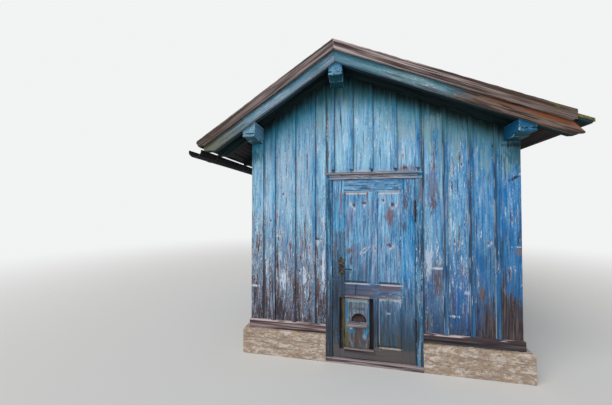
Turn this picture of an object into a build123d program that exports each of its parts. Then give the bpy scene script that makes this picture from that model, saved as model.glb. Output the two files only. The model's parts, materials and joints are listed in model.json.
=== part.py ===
from build123d import *
import math
import os

# Small painted hut of vertical boards and battens on a low plinth.
# X runs to the right along the front, Y runs from front to rear, Z is up, all in millimetres.
# The origin is on the ground, in the middle of the walls. The front faces -Y.

# Walls
house_width = 2780
house_depth = 3000
board_thickness = 24
beam_width = 140
corner_board_width = 140
corner_board_wide = 165
corner_board_proud = 6
batten_width = 46
batten_thickness = 22
batten_chamfer = 7
batten_spacing = 230

# Widths of the unequal front boards, from left to right, beside the door and over it
boards_left_of_door = [128, 240, 228, 140]
boards_over_door = [74, 203, 211, 246, 228, 38]
boards_right_of_door = [221, 241, 227, 50]

# Plinth, floor and sill
plinth_height = 290
plinth_side_ledge = 88
plinth_front_ledge = 40
plinth_chamfer = 22
floor_thickness = 52
sill_height = 100
sill_proud = 18
sill_chamfer = 6

# Frame inside the boards
stud_width = 90
rail_depth = 60
rail_height = 100
rail_level = 1250
tie_height = 120
lintel_gap = 159

# Roof, set out from the line along the underside of the rafters
ridge_x = -386
pitch_left = 32.6
pitch_right = 22.8
ridge_beam_depth = 152
plate_left_depth = 94
plate_right_depth = 80
rafter_height = 120
rafter_width = 70
inner_rafter_count = 3
roof_board_thickness = 24
roofing_thickness = 28
roofing_lip = 16

# How far the roof reaches past the side walls, the right rafters between the gables less than the rest
eave_reach_left = 443
eave_reach_right = 302
inner_reach_right = 85
roof_board_reach_left = 60
roof_board_reach_right = 88

# Level cut of the tails, under the right wall plate
eave_drop = 29

# Barge boards and the planks over them
gable_overhang = 270
barge_thickness = 30
barge_drop = 8
barge_reach_left = 5
barge_reach_right = 35
barge_rot_length = 132
barge_rot_rest = 14
verge_thickness = 35
verge_bottom = 87
verge_top = 186
verge_reach_left = 77
verge_short_right = 37
verge_cut_rise = 49

# Carved ends of the beams
lip_length = 26
lip_rise = 18
hollow_length = 120
hollow_depth = 9
groove_height = 9
groove_depth = 12
groove_rise = 44

# Gutter along the left eave
gutter_radius = 84
gutter_wall = 12
gutter_stand_off = 30
gutter_drop = 20
gutter_ledge = 30
bracket_thickness = 4
bracket_width = 30
bracket_top_gap = 3

# Door frame
door_left = -439
door_width = 850
door_bottom = 60
door_height = 1915
door_gap = 5
frame_post_width = 70
frame_depth = 90
frame_proud = 25
frame_head_height = 70
stop_width = 17
stop_clearance = 5
leaf_recess = 8
leaf_thickness = 40

# Cornice over the door
cornice_height = 70
cornice_projection = 46
cornice_ear = 4
cornice_short_right = 30
cornice_board_thickness = 20
moulding_short_left = 46
moulding_short_right = 16
moulding_step = 7
batten_stop_gap = 40

# Door leaf
stile_left_width = 121
stile_right_width = 134
left_panel_width = 260
muntin_width = 90
top_rail_height = 133
middle_rail_from_bottom = 650
middle_rail_height = 150
bottom_rail_height = 140
groove_in_frame = 10
tongue_thickness = 10
panel_thickness = 26
panel_bevel = 26
rail_slot_from_left = 241
rail_slot_width = 22
rail_slot_height = 106
rail_slot_depth = 14

# Lower left panel, mended with a loose board
patch_in_stile = 51
patch_in_muntin = 50
patch_from_bottom = 86
patch_under_rail = 10
patch_back_thickness = 20
patch_board_from_left = 134
patch_board_width = 254
patch_board_thickness = 14
patch_hole_from_left = 65
patch_hole_width = 157
patch_hole_height = 92
patch_hole_from_bottom = 298
shelf_from_left = 32
shelf_width = 198
shelf_thickness = 28
shelf_projection = 44
shelf_drop = 14
ledge_thickness = 18
upper_ledge_height = 26
lower_ledge_height = 36
lower_ledge_seat = 12
lower_ledge_short = 49

# Lock and lever
lock_from_left = 91
lock_from_bottom = 866
lock_height = 216
lock_width = 47
lock_point = 34
lock_plate_thickness = 3
spindle_from_lock_bottom = 91
spindle_radius = 6
spindle_clearance = 0.4
lever_length = 114
lever_standoff = 42
lever_thickness = 10
lever_drop = 9
lever_neck_radius = 9
keyhole_width = 7
keyhole_drop = 46

# Hinges
hinge_radius = 9
hinge_pin_radius = 4.5
hinge_clearance = 0.4
hinge_face_gap = 1.5
hinge_length = 220
hinge_plate_thickness = 3
hinge_plate_reach = 30
hinge_from_bottom = 352
hinge_from_top = 338

# Places worked out from the driving dimensions
half_width = house_width / 2
half_depth = house_depth / 2
front_face = -half_depth
post_size = beam_width - board_thickness
inner_x = half_width - beam_width
inner_y = half_depth - beam_width
sill_top = plinth_height + sill_height
corner_left = corner_board_width - half_width
corner_right = half_width - corner_board_wide
frame_left = door_left - door_gap - frame_post_width
door_right = door_left + door_width
frame_right = door_right + door_gap + frame_post_width
door_top = door_bottom + door_height
head_bottom = door_top + door_gap
head_top = head_bottom + frame_head_height
frame_front = front_face - frame_proud
frame_back = frame_front + frame_depth
leaf_front = frame_front + leaf_recess
leaf_back = leaf_front + leaf_thickness
stop_front = leaf_back + stop_clearance
short_batten_bottom = head_top + batten_stop_gap

# The leaf, set out from its free edge and its foot
stile_left = door_left + stile_left_width
stile_right = door_right - stile_right_width
muntin_left = stile_left + left_panel_width
muntin_right = muntin_left + muntin_width
lower_panel_bottom = door_bottom + bottom_rail_height
middle_rail_bottom = door_bottom + middle_rail_from_bottom
upper_panel_bottom = middle_rail_bottom + middle_rail_height
upper_panel_top = door_top - top_rail_height
patch_left = stile_left - patch_in_stile
patch_right = muntin_left + patch_in_muntin
patch_bottom = door_bottom + patch_from_bottom
patch_top = middle_rail_bottom - patch_under_rail
patch_board_left = door_left + patch_board_from_left
patch_board_right = patch_board_left + patch_board_width
lock_x = door_left + lock_from_left
lock_bottom = door_bottom + lock_from_bottom
lock_top = lock_bottom + lock_height
spindle_level = lock_bottom + spindle_from_lock_bottom
hinge_levels = [door_bottom + hinge_from_bottom, door_top - hinge_from_top]

# The walls' height follows the door, and the roof rises from the right wall plate
tie_bottom = head_top + lintel_gap
plate_right_underside = tie_bottom + tie_height
tan_left = math.tan(math.radians(pitch_left))
tan_right = math.tan(math.radians(pitch_right))
cos_left = math.cos(math.radians(pitch_left))
cos_right = math.cos(math.radians(pitch_right))
mitre_x = (cos_left - cos_right) / math.sin(math.radians(pitch_left + pitch_right))
mitre_z = (1 + mitre_x * math.sin(math.radians(pitch_left))) / cos_left
roof_apex = plate_right_underside + plate_right_depth + tan_right * (half_width - ridge_x)
ridge_beam_underside = roof_apex - ridge_beam_depth
ridge_left = ridge_x - beam_width / 2
ridge_right = ridge_x + beam_width / 2
beam_end = half_depth + gable_overhang
barge_face = beam_end + barge_thickness
verge_face = barge_face + verge_thickness


def box(x0, x1, y0, y1, z0, z1):
    """A box between two corners."""
    return Pos((x0 + x1) / 2, (y0 + y1) / 2, (z0 + z1) / 2) * Box(x1 - x0, y1 - y0, z1 - z0)


def front_slab(points, y0, y1):
    """A flat piece with an outline of (x, z) points, from y0 back to y1."""
    face = make_face(Polyline(*[(x, y0, z) for x, z in points], close=True))
    return extrude(face, amount=y1 - y0, dir=(0, 1, 0))


def side_slab(face_edges, x0, x1):
    """A piece whose outline lies in the plane across X at x0, drawn out to x1."""
    return extrude(make_face(face_edges), amount=x1 - x0, dir=(1, 0, 0))


def roof_level(x, height=0):
    """Height of the layer that lies so far above the underside of the rafters, at x."""
    left = roof_apex + height / cos_left - tan_left * (ridge_x - x)
    right = roof_apex + height / cos_right - tan_right * (x - ridge_x)
    return min(left, right)


plate_left_underside = roof_level(-half_width) - plate_left_depth
rafter_end_left = -half_width - eave_reach_left
rafter_end_right = half_width + eave_reach_right
inner_end_right = half_width + inner_reach_right
eave_level = plate_right_underside - eave_drop
verge_cut_level = eave_level + verge_cut_rise
roof_board_end_left = rafter_end_left - roof_board_reach_left
roof_board_end_right = rafter_end_right + roof_board_reach_right
barge_end_left = rafter_end_left - barge_reach_left
barge_end_right = rafter_end_right + barge_reach_right
verge_end_left = rafter_end_left - verge_reach_left
verge_end_right = rafter_end_right - verge_short_right
gutter_x = rafter_end_left - gutter_stand_off - gutter_radius
gutter_top = roof_level(roof_board_end_left, rafter_height) - gutter_drop


def mitre(height):
    """The point where both slopes of a layer meet."""
    return (ridge_x + mitre_x * height, roof_apex + mitre_z * height)


def slope_piece(low, high, x_end, y0, y1, cut_level=None):
    """A piece along one slope, between two layers, from the mitre to x_end."""
    low_end = roof_level(x_end, low)
    points = [mitre(low), mitre(high), (x_end, roof_level(x_end, high))]
    if cut_level is not None and low_end < cut_level:
        pitch = tan_left if x_end < ridge_x else tan_right
        run = abs(x_end - ridge_x) - (cut_level - low_end) / pitch
        points.append((x_end, cut_level))
        points.append((ridge_x + math.copysign(run, x_end - ridge_x), cut_level))
    else:
        points.append((x_end, low_end))
    return front_slab(points, y0, y1)


def both_gables(make):
    """The same piece at the front and, turned over, at the rear."""
    front = make()
    return [front, mirror(front, about=Plane.XZ)]


def top_under_roof(x0, x1):
    """Top corners of a flat piece between x0 and x1 that ends under the roof or the ridge beam."""
    if x0 < ridge_right and x1 > ridge_left:
        return [(x1, ridge_beam_underside), (x0, ridge_beam_underside)]
    return [(x1, roof_level(x1)), (x0, roof_level(x0))]


def make_course(reach_x, reach_y, z0, z1, size):
    """One course round the foot of the walls: its side pieces, and its end pieces, open at the door."""
    block = box(-reach_x, reach_x, -reach_y, reach_y, z0, z1)
    block = chamfer(block.faces().sort_by(Axis.Z)[-1].edges(), size)
    sides = [
        block & box(-reach_x, -inner_x, -inner_y, inner_y, z0, z1),
        block & box(inner_x, reach_x, -inner_y, inner_y, z0, z1),
    ]
    ends = [
        block & box(-reach_x, frame_left, -reach_y, -inner_y, z0, z1),
        block & box(frame_right, reach_x, -reach_y, -inner_y, z0, z1),
        block & box(-reach_x, reach_x, inner_y, reach_y, z0, z1),
    ]
    return sides, ends


def make_plinth():
    """Concrete plinth: a wall at each side, and one at each end, open at the door."""
    return make_course(
        half_width + plinth_side_ledge, half_depth + plinth_front_ledge, 0, plinth_height, plinth_chamfer
    )


def make_sills():
    """Sill beams on the plinth, a little proud of the boards that stand on them."""
    return make_course(
        half_width + sill_proud, half_depth + sill_proud, plinth_height, sill_top, sill_chamfer
    )


def make_posts():
    """Corner posts, door studs, middle studs and the posts that carry the ridge beam."""
    outer_x = half_width - board_thickness
    outer_y = half_depth - board_thickness
    posts = []
    for y0, y1 in ((-outer_y, -inner_y), (inner_y, outer_y)):
        posts.append(box(-outer_x, -inner_x, y0, y1, sill_top, plate_left_underside))
        posts.append(box(inner_x, outer_x, y0, y1, sill_top, plate_right_underside))
        posts.append(
            box(ridge_x - post_size / 2, ridge_x + post_size / 2, y0, y1,
                plate_right_underside, ridge_beam_underside)
        )
    for x0 in (frame_left - stud_width, frame_right):
        posts.append(box(x0, x0 + stud_width, -outer_y, -inner_y, sill_top, tie_bottom))
    posts.append(box(-stud_width / 2, stud_width / 2, inner_y, outer_y, sill_top, tie_bottom))
    posts.append(box(-outer_x, -inner_x, -stud_width / 2, stud_width / 2, sill_top, plate_left_underside))
    posts.append(box(inner_x, outer_x, -stud_width / 2, stud_width / 2, sill_top, plate_right_underside))
    return posts


def make_rails():
    """Level rails between the posts, and the tie beam across each end."""
    outer_x = half_width - board_thickness
    outer_y = half_depth - board_thickness
    top = rail_level + rail_height
    rails = []
    for y0, y1 in ((-outer_y, -inner_y), (inner_y, outer_y)):
        rails.append(box(-inner_x, inner_x, y0, y1, tie_bottom, plate_right_underside))
    rails.append(
        box(-inner_x, frame_left - stud_width, -outer_y, rail_depth - outer_y, rail_level, top)
    )
    rails.append(
        box(frame_right + stud_width, inner_x, -outer_y, rail_depth - outer_y, rail_level, top)
    )
    for near, far in ((-inner_x, -stud_width / 2), (stud_width / 2, inner_x)):
        rails.append(box(near, far, outer_y - rail_depth, outer_y, rail_level, top))
    for near, far in ((-inner_y, -stud_width / 2), (stud_width / 2, inner_y)):
        rails.append(box(-outer_x, rail_depth - outer_x, near, far, rail_level, top))
        rails.append(box(outer_x - rail_depth, outer_x, near, far, rail_level, top))
    return rails


def carve_beam_ends(beam, x0, x1, underside):
    """Cut a groove across each end of a beam and a hollow behind its lower lip."""
    tools = []
    for sign in (-1, 1):
        end = sign * beam_end
        inward = -sign
        beyond = end - inward * lip_length
        lip = end + inward * lip_length
        back = end + inward * hollow_length
        middle = (x0, (lip + back) / 2, underside + lip_rise / 2 + hollow_depth)
        below = underside - lip_rise
        edges = [
            Line((x0, beyond, below), (x0, beyond, underside + lip_rise)),
            Line((x0, beyond, underside + lip_rise), (x0, lip, underside + lip_rise)),
            ThreePointArc((x0, lip, underside + lip_rise), middle, (x0, back, underside)),
            Line((x0, back, underside), (x0, back, below)),
            Line((x0, back, below), (x0, beyond, below)),
        ]
        tools.append(side_slab(edges, x0, x1))
        groove_y = sorted((end, end + inward * groove_depth))
        tools.append(
            box(x0, x1, groove_y[0], groove_y[1],
                underside + groove_rise, underside + groove_rise + groove_height)
        )
    return beam - tools


def make_beam(x0, x1, underside):
    """A beam along the house, its top cut to the slope of the rafters that lie on it."""
    points = [(x0, underside), (x1, underside), (x1, roof_level(x1))]
    if x0 < ridge_x < x1:
        points.append((ridge_x, roof_apex))
    points.append((x0, roof_level(x0)))
    beam = front_slab(points, -beam_end, beam_end)
    return carve_beam_ends(beam, x0, x1, underside)


def batten(x, bottom, y_back):
    """One cover batten on an end wall, its front edges chamfered."""
    x0 = x - batten_width / 2
    x1 = x + batten_width / 2
    sign = math.copysign(1, y_back)
    y0, y1 = sorted((y_back, y_back + sign * batten_thickness))
    piece = front_slab([(x0, bottom), (x1, bottom)] + top_under_roof(x0, x1), y0, y1)
    edges = [
        edge for edge in piece.edges().filter_by(Axis.Z)
        if abs(edge.center().Y) > half_depth + batten_thickness / 2
    ]
    return chamfer(edges, batten_chamfer)


def joints(widths, start, end):
    """Places of the joints between unequal boards that together fill a stretch of wall."""
    spread = (end - start) / sum(widths)
    return [start + spread * sum(widths[:i]) for i in range(1, len(widths))]


def make_front_battens():
    """Cover battens at the front: those over the door stop above its cornice."""
    pieces = []
    for widths, start, end, bottom in (
        (boards_left_of_door, corner_left, frame_left, sill_top),
        (boards_over_door, frame_left, frame_right, short_batten_bottom),
        (boards_right_of_door, frame_right, corner_right, sill_top),
    ):
        pieces += [batten(x, bottom, front_face) for x in joints(widths, start, end)]
    return pieces


def make_rear_battens():
    """Evenly spaced cover battens on the rear wall."""
    count = round(house_width / batten_spacing) - 1
    step = house_width / (count + 1)
    return [batten(-half_width + step * (i + 1), sill_top, half_depth) for i in range(count)]


def make_side_battens():
    """Evenly spaced cover battens on both side walls."""
    count = round(house_depth / batten_spacing) - 1
    step = house_depth / (count + 1)
    pieces = []
    for sign, top in ((-1, plate_left_underside), (1, plate_right_underside)):
        for i in range(count):
            y = -half_depth + step * (i + 1)
            x0, x1 = sorted((sign * half_width, sign * (half_width + batten_thickness)))
            piece = box(x0, x1, y - batten_width / 2, y + batten_width / 2, sill_top, top)
            edges = [
                edge for edge in piece.edges().filter_by(Axis.Z)
                if abs(edge.center().X) > half_width + batten_thickness / 2
            ]
            pieces.append(chamfer(edges, batten_chamfer))
    return pieces


def make_corner_boards():
    """A board up each corner, which covers the ends of the side boards."""
    proud = half_depth + corner_board_proud
    behind = half_depth - board_thickness
    left_end = corner_board_width - half_width
    return [
        box(-half_width, left_end, -proud, -behind, sill_top, plate_left_underside),
        box(corner_right, half_width, -proud, -behind, sill_top, plate_right_underside),
        box(-half_width, left_end, behind, proud, sill_top, plate_left_underside),
        box(-left_end, half_width, behind, proud, sill_top, plate_right_underside),
    ]


def make_front_walls():
    """Boards left of the door, right of it and over it, up to the roof."""
    y1 = front_face + board_thickness
    left = front_slab(
        [(corner_left, sill_top), (frame_left, sill_top),
         (frame_left, roof_level(frame_left)), (corner_left, roof_level(corner_left))],
        front_face, y1,
    )
    right = front_slab(
        [(frame_right, sill_top), (corner_right, sill_top),
         (corner_right, plate_right_underside), (inner_x, plate_right_underside),
         (inner_x, roof_level(inner_x)), (frame_right, roof_level(frame_right))],
        front_face, y1,
    )
    over = front_slab(
        [(frame_left, head_top), (frame_right, head_top), (frame_right, roof_level(frame_right)),
         (ridge_right, roof_level(ridge_right)), (ridge_right, ridge_beam_underside),
         (ridge_left, ridge_beam_underside), (ridge_left, roof_level(ridge_left)),
         (frame_left, roof_level(frame_left))],
        front_face, y1,
    )
    return left, right, over


def make_rear_wall():
    """Boards of the rear wall, notched round the ridge beam."""
    edge = half_width - corner_board_width
    return front_slab(
        [(-edge, sill_top), (edge, sill_top), (edge, roof_level(edge)),
         (ridge_right, roof_level(ridge_right)), (ridge_right, ridge_beam_underside),
         (ridge_left, ridge_beam_underside), (ridge_left, roof_level(ridge_left)),
         (-edge, roof_level(-edge))],
        half_depth - board_thickness, half_depth,
    )


def make_side_wall(sign, top):
    """Boards of one side wall, between the corner boards and under the wall plate."""
    x0, x1 = sorted((sign * half_width, sign * (half_width - board_thickness)))
    y = half_depth - board_thickness
    return box(x0, x1, -y, y, sill_top, top)


def rafter_places():
    """Front faces of the rafters: one behind each barge board, one on each end wall, the rest between."""
    wall = half_depth - rafter_width
    step = (2 * wall - rafter_width) / (inner_rafter_count + 1)
    inner = [-half_depth + rafter_width / 2 + step * (i + 1) for i in range(inner_rafter_count)]
    return [-beam_end, -half_depth] + inner + [wall, beam_end - rafter_width]


def make_rafters(x_end, inner_end):
    """Rafters of one slope: those behind the barge boards to x_end, the ones between to inner_end."""
    places = rafter_places()
    ends = [x_end] + [inner_end] * (len(places) - 2) + [x_end]
    return [
        slope_piece(0, rafter_height, end, y, y + rafter_width, eave_level)
        for end, y in zip(ends, places)
    ]


def make_roof_layer(low, thickness, x_end):
    """One layer of the roof on one slope, out over both barge boards."""
    return slope_piece(low, low + thickness, x_end, -barge_face, barge_face)


def make_barge_boards(x_end, rot_length=0):
    """Barge boards at the front and the rear of one slope; the front one may be rotted off at its end."""
    front, rear = both_gables(
        lambda: slope_piece(-barge_drop, rafter_height, x_end, -barge_face, -beam_end, eave_level)
    )
    if rot_length:
        sound = roof_level(x_end - rot_length, rafter_height)
        rest = eave_level + barge_rot_rest
        beyond = x_end + rot_length
        front -= front_slab(
            [(x_end - rot_length, sound), (x_end, rest), (beyond, rest), (beyond, sound)],
            -barge_face, -beam_end,
        )
    return [front, rear]


def make_verge_planks(x_end):
    """Planks that cover the edge of the roof, nailed over the barge boards."""
    return both_gables(
        lambda: slope_piece(verge_bottom, verge_top, x_end, -verge_face, -barge_face, verge_cut_level)
    )


def make_gutter():
    """Half-round gutter along the left eave."""
    length = 2 * (beam_end + gutter_ledge)
    outer = Cylinder(gutter_radius, length) - Cylinder(gutter_radius - gutter_wall, length)
    trough = Pos(gutter_x, 0, gutter_top) * Rot(90, 0, 0) * outer
    keep = box(
        gutter_x - gutter_radius, gutter_x + gutter_radius, -length / 2, length / 2,
        gutter_top - gutter_radius, gutter_top,
    )
    return trough & keep


def make_gutter_brackets():
    """A strap round the gutter, with a plate on the end of every second rafter."""
    straps = []
    ring_radius = gutter_radius + bracket_thickness
    plate_top = roof_level(rafter_end_left - bracket_thickness, rafter_height) - bracket_top_gap
    for place in rafter_places()[1::2]:
        y = place + rafter_width / 2
        ring = Cylinder(ring_radius, bracket_width) - Cylinder(gutter_radius, bracket_width)
        ring = Pos(gutter_x, y, gutter_top) * Rot(90, 0, 0) * ring
        y0 = y - bracket_width / 2
        y1 = y + bracket_width / 2
        keep = box(
            gutter_x - ring_radius, gutter_x + ring_radius, y0, y1,
            gutter_top - ring_radius, gutter_top,
        )
        arm = box(
            gutter_x + gutter_radius, rafter_end_left, y0, y1,
            gutter_top - bracket_thickness, gutter_top,
        )
        plate = box(
            rafter_end_left - bracket_thickness, rafter_end_left, y0, y1,
            gutter_top - bracket_thickness, plate_top,
        )
        straps.append((ring & keep) + arm + plate)
    return straps


def hinge_axis():
    """Where the hinge pins stand: over the gap between the leaf and its post."""
    return (door_right + door_gap / 2, frame_front - hinge_radius - hinge_face_gap)


def hinge_plate(side_x, inward, z0, z1):
    """A plate let flush into an edge at side_x, reaching from the barrel along the edge."""
    x0, x1 = sorted((side_x, side_x + inward * hinge_plate_thickness))
    return box(x0, x1, hinge_axis()[1], frame_front + hinge_plate_reach, z0, z1)


def make_hinges():
    """Barrel hinges: the lower half and its pin on the post, the upper half on the leaf."""
    axis_x, axis_y = hinge_axis()
    pins = []
    knuckles = []
    half = hinge_length / 2
    for level in hinge_levels:
        lower = Pos(axis_x, axis_y, level - half / 2 - hinge_clearance / 2)
        barrel = lower * Cylinder(hinge_radius, half - hinge_clearance)
        pin = Pos(axis_x, axis_y, level) * Cylinder(hinge_pin_radius, hinge_length - 2 * hinge_clearance)
        plate = hinge_plate(door_right + door_gap, 1, level - half, level - hinge_clearance)
        pins.append(barrel + pin + plate)
        upper = Pos(axis_x, axis_y, level + half / 2)
        sleeve = upper * Cylinder(hinge_radius, half)
        plate = hinge_plate(door_right, -1, level, level + half)
        bore = upper * Cylinder(hinge_pin_radius + hinge_clearance, half)
        knuckles.append(sleeve + plate - bore)
    return pins, knuckles


def make_door_frame():
    """Two posts on the threshold and a head, with a stop behind the leaf."""
    posts = []
    for outer, inner, stop in (
        (frame_left, frame_left + frame_post_width, frame_left + frame_post_width + stop_width),
        (frame_right, frame_right - frame_post_width, frame_right - frame_post_width - stop_width),
    ):
        front = box(min(outer, inner), max(outer, inner), frame_front, frame_back,
                    floor_thickness, head_bottom)
        back = box(min(inner, stop), max(inner, stop), stop_front, frame_back,
                   floor_thickness, head_bottom)
        posts.append(front + back)
    half = hinge_length / 2
    for level in hinge_levels:
        posts[1] -= hinge_plate(door_right + door_gap, 1, level - half, level - hinge_clearance)
    head = box(frame_left, frame_right, frame_front, frame_back, head_bottom, head_top)
    head += box(
        frame_left + frame_post_width + stop_width, frame_right - frame_post_width - stop_width,
        stop_front, frame_back, head_bottom - stop_width, head_bottom,
    )
    return posts, head


def make_cornice():
    """Ledge over the door: a board on top, and a shorter ogee moulding under it."""
    x0 = frame_left - cornice_ear
    x1 = frame_right - cornice_short_right
    nose = frame_front - cornice_projection
    foot = frame_front - cornice_projection / 4
    under = head_top - cornice_board_thickness
    bottom = head_top - cornice_height
    end = x0 + moulding_short_left
    middle_y = (nose + foot) / 2
    middle_z = (under + bottom) / 2
    edges = [
        Line((end, frame_front, under), (end, nose + moulding_step, under)),
        ThreePointArc(
            (end, nose + moulding_step, under),
            (end, middle_y - moulding_step / 2, middle_z + moulding_step),
            (end, middle_y, middle_z),
        ),
        ThreePointArc(
            (end, middle_y, middle_z),
            (end, middle_y + moulding_step, middle_z - moulding_step),
            (end, foot, bottom),
        ),
        Line((end, foot, bottom), (end, frame_front, bottom)),
        Line((end, frame_front, bottom), (end, frame_front, under)),
    ]
    board = box(x0, x1, nose, frame_front, under, head_top)
    return board + side_slab(edges, end, x1 - moulding_short_right)


def panel_openings():
    """The openings in the leaf that hold fielded panels, as (x0, x1, z0, z1)."""
    return [
        (stile_left, muntin_left, upper_panel_bottom, upper_panel_top),
        (muntin_right, stile_right, upper_panel_bottom, upper_panel_top),
        (muntin_right, stile_right, lower_panel_bottom, middle_rail_bottom),
    ]


def tongue_band(x0, x1, z0, z1, reach):
    """A slab as thick as a panel's tongue, round an opening widened by reach."""
    middle = (leaf_front + leaf_back) / 2
    return box(
        x0 - reach, x1 + reach, middle - tongue_thickness / 2, middle + tongue_thickness / 2,
        z0 - reach, z1 + reach,
    )


def fielded_panel(x0, x1, z0, z1):
    """A panel with its tongue in the grooves and a raised field with bevelled edges on both faces."""
    middle = (leaf_front + leaf_back) / 2
    half = panel_thickness / 2
    panel = tongue_band(x0, x1, z0, z1, groove_in_frame)
    for sign in (-1, 1):
        near = middle + sign * tongue_thickness / 2
        far = middle + sign * half
        plane_near = Plane(origin=((x0 + x1) / 2, near, (z0 + z1) / 2), x_dir=(1, 0, 0),
                           z_dir=(0, sign, 0))
        plane_far = Plane(origin=((x0 + x1) / 2, far, (z0 + z1) / 2), x_dir=(1, 0, 0),
                          z_dir=(0, sign, 0))
        wide = plane_near * Rectangle(x1 - x0, z1 - z0)
        narrow = plane_far * Rectangle(x1 - x0 - 2 * panel_bevel, z1 - z0 - 2 * panel_bevel)
        panel += loft([wide.face(), narrow.face()])
    return panel


def make_leaf():
    """Stiles, rails and muntins of the leaf, grooved for the panels and cut away round the mended one."""

    def member(x0, x1, z0, z1):
        piece = box(x0, x1, leaf_front, leaf_back, z0, z1)
        for opening in panel_openings():
            piece -= tongue_band(*opening, groove_in_frame)
        return piece - patch_space

    patch_space = box(patch_left, patch_right, leaf_front, leaf_back, patch_bottom, patch_top)
    stiles = [
        member(door_left, stile_left, door_bottom, door_top),
        member(stile_right, door_right, door_bottom, door_top),
    ]
    rails = [
        member(stile_left, stile_right, door_bottom, lower_panel_bottom),
        member(stile_left, stile_right, middle_rail_bottom, upper_panel_bottom),
        member(stile_left, stile_right, upper_panel_top, door_top),
    ]
    rails[1] += box(stile_left, muntin_left, leaf_front, leaf_back, patch_top, middle_rail_bottom)
    slot_x = door_left + rail_slot_from_left
    slot_z = (middle_rail_bottom + upper_panel_bottom - rail_slot_height) / 2
    rails[1] -= box(
        slot_x, slot_x + rail_slot_width, leaf_front, leaf_front + rail_slot_depth,
        slot_z, slot_z + rail_slot_height,
    )
    muntins = [
        member(muntin_left, muntin_right, lower_panel_bottom, middle_rail_bottom),
        member(muntin_left, muntin_right, upper_panel_bottom, upper_panel_top),
    ]
    half = hinge_length / 2
    for level in hinge_levels:
        stiles[1] -= hinge_plate(door_right, -1, level, level + half)
    bore = Pos(lock_x, (leaf_front + leaf_back) / 2, spindle_level) * Rot(90, 0, 0) * Cylinder(
        spindle_radius + spindle_clearance, leaf_thickness
    )
    stiles[0] -= bore
    return stiles, rails, muntins


def make_patch():
    """The mended lower left panel: a loose board with an arched hole, over a rough backing board."""
    back_front = leaf_back - patch_back_thickness
    board_front = back_front - patch_board_thickness
    backing = box(patch_left, patch_right, back_front, leaf_back, patch_bottom, patch_top)
    board = box(
        patch_board_left, patch_board_right, board_front, back_front, patch_bottom, patch_top
    )
    hole_left = patch_board_left + patch_hole_from_left
    hole_right = hole_left + patch_hole_width
    spring = patch_bottom + patch_hole_from_bottom
    crown = ((hole_left + hole_right) / 2, board_front, spring + patch_hole_height)
    outline = make_face([
        Line((hole_left, board_front, spring), (hole_right, board_front, spring)),
        ThreePointArc((hole_right, board_front, spring), crown, (hole_left, board_front, spring)),
    ])
    board -= extrude(outline, amount=patch_board_thickness, dir=(0, 1, 0))
    return board, backing


def make_patch_ledges():
    """A small shelf under the arched hole, and a ledge over the foot and over the head of the patch."""
    board_front = leaf_back - patch_back_thickness - patch_board_thickness
    shelf_left = patch_board_left + shelf_from_left
    shelf_top = patch_bottom + patch_hole_from_bottom - shelf_drop
    ledge_front = leaf_front - ledge_thickness
    lower_z = patch_bottom - lower_ledge_seat
    return [
        box(shelf_left, shelf_left + shelf_width, board_front - shelf_projection, board_front,
            shelf_top - shelf_thickness, shelf_top),
        box(patch_left + lower_ledge_short, patch_right, ledge_front, leaf_front,
            lower_z, lower_z + lower_ledge_height),
        box(patch_board_left, patch_board_right, ledge_front, leaf_front,
            patch_top, patch_top + upper_ledge_height),
    ]


def lock_plate(y0, y1):
    """A plate with pointed ends, bored for the spindle and cut for the key."""
    half = lock_width / 2
    points = [
        (lock_x, lock_bottom), (lock_x + half, lock_bottom + lock_point),
        (lock_x + half, lock_top - lock_point), (lock_x, lock_top),
        (lock_x - half, lock_top - lock_point), (lock_x - half, lock_bottom + lock_point),
    ]
    plate = front_slab(points, y0, y1)
    middle = (y0 + y1) / 2
    plate -= Pos(lock_x, middle, spindle_level) * Rot(90, 0, 0) * Cylinder(
        spindle_radius + spindle_clearance, y1 - y0
    )
    return plate - box(
        lock_x - keyhole_width / 2, lock_x + keyhole_width / 2, y0, y1,
        spindle_level - keyhole_drop - 2 * keyhole_width, spindle_level - keyhole_drop,
    )


def make_lever():
    """Spindle through the lock, with a drooping lever on each face of the door."""
    outer_end = leaf_front - lever_standoff
    inner_end = leaf_back + lever_standoff
    spindle = Pos(lock_x, (outer_end + inner_end) / 2, spindle_level) * Rot(90, 0, 0) * Cylinder(
        spindle_radius, inner_end - outer_end
    )
    lever = spindle
    for end, sign in ((outer_end, -1), (inner_end, 1)):
        base = leaf_front - lock_plate_thickness if sign < 0 else leaf_back + lock_plate_thickness
        neck_start = base + sign * spindle_clearance
        neck_middle = (neck_start + end + sign * lever_thickness) / 2
        neck_length = abs(end + sign * lever_thickness - neck_start)
        lever += Pos(lock_x, neck_middle, spindle_level) * Rot(90, 0, 0) * Cylinder(
            lever_neck_radius, neck_length
        )
        y0, y1 = sorted((end, end + sign * lever_thickness))
        low = spindle_level - lever_neck_radius
        high = spindle_level + lever_neck_radius
        tip = lock_x + lever_length
        grip = [
            Line((lock_x, y0, high), (lock_x, y0, low)),
            ThreePointArc(
                (lock_x, y0, low),
                (lock_x + lever_length / 2, y0, low + lever_drop / 2),
                (tip, y0, low - lever_drop / 3),
            ),
            ThreePointArc(
                (tip, y0, low - lever_drop / 3),
                (tip + lever_drop / 2, y0, low + lever_drop / 2),
                (tip, y0, low + lever_drop),
            ),
            ThreePointArc(
                (tip, y0, low + lever_drop),
                (lock_x + lever_length / 2, y0, high - lever_drop / 4),
                (lock_x, y0, high),
            ),
        ]
        lever += extrude(make_face(grip), amount=y1 - y0, dir=(0, 1, 0))
    return lever


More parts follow.
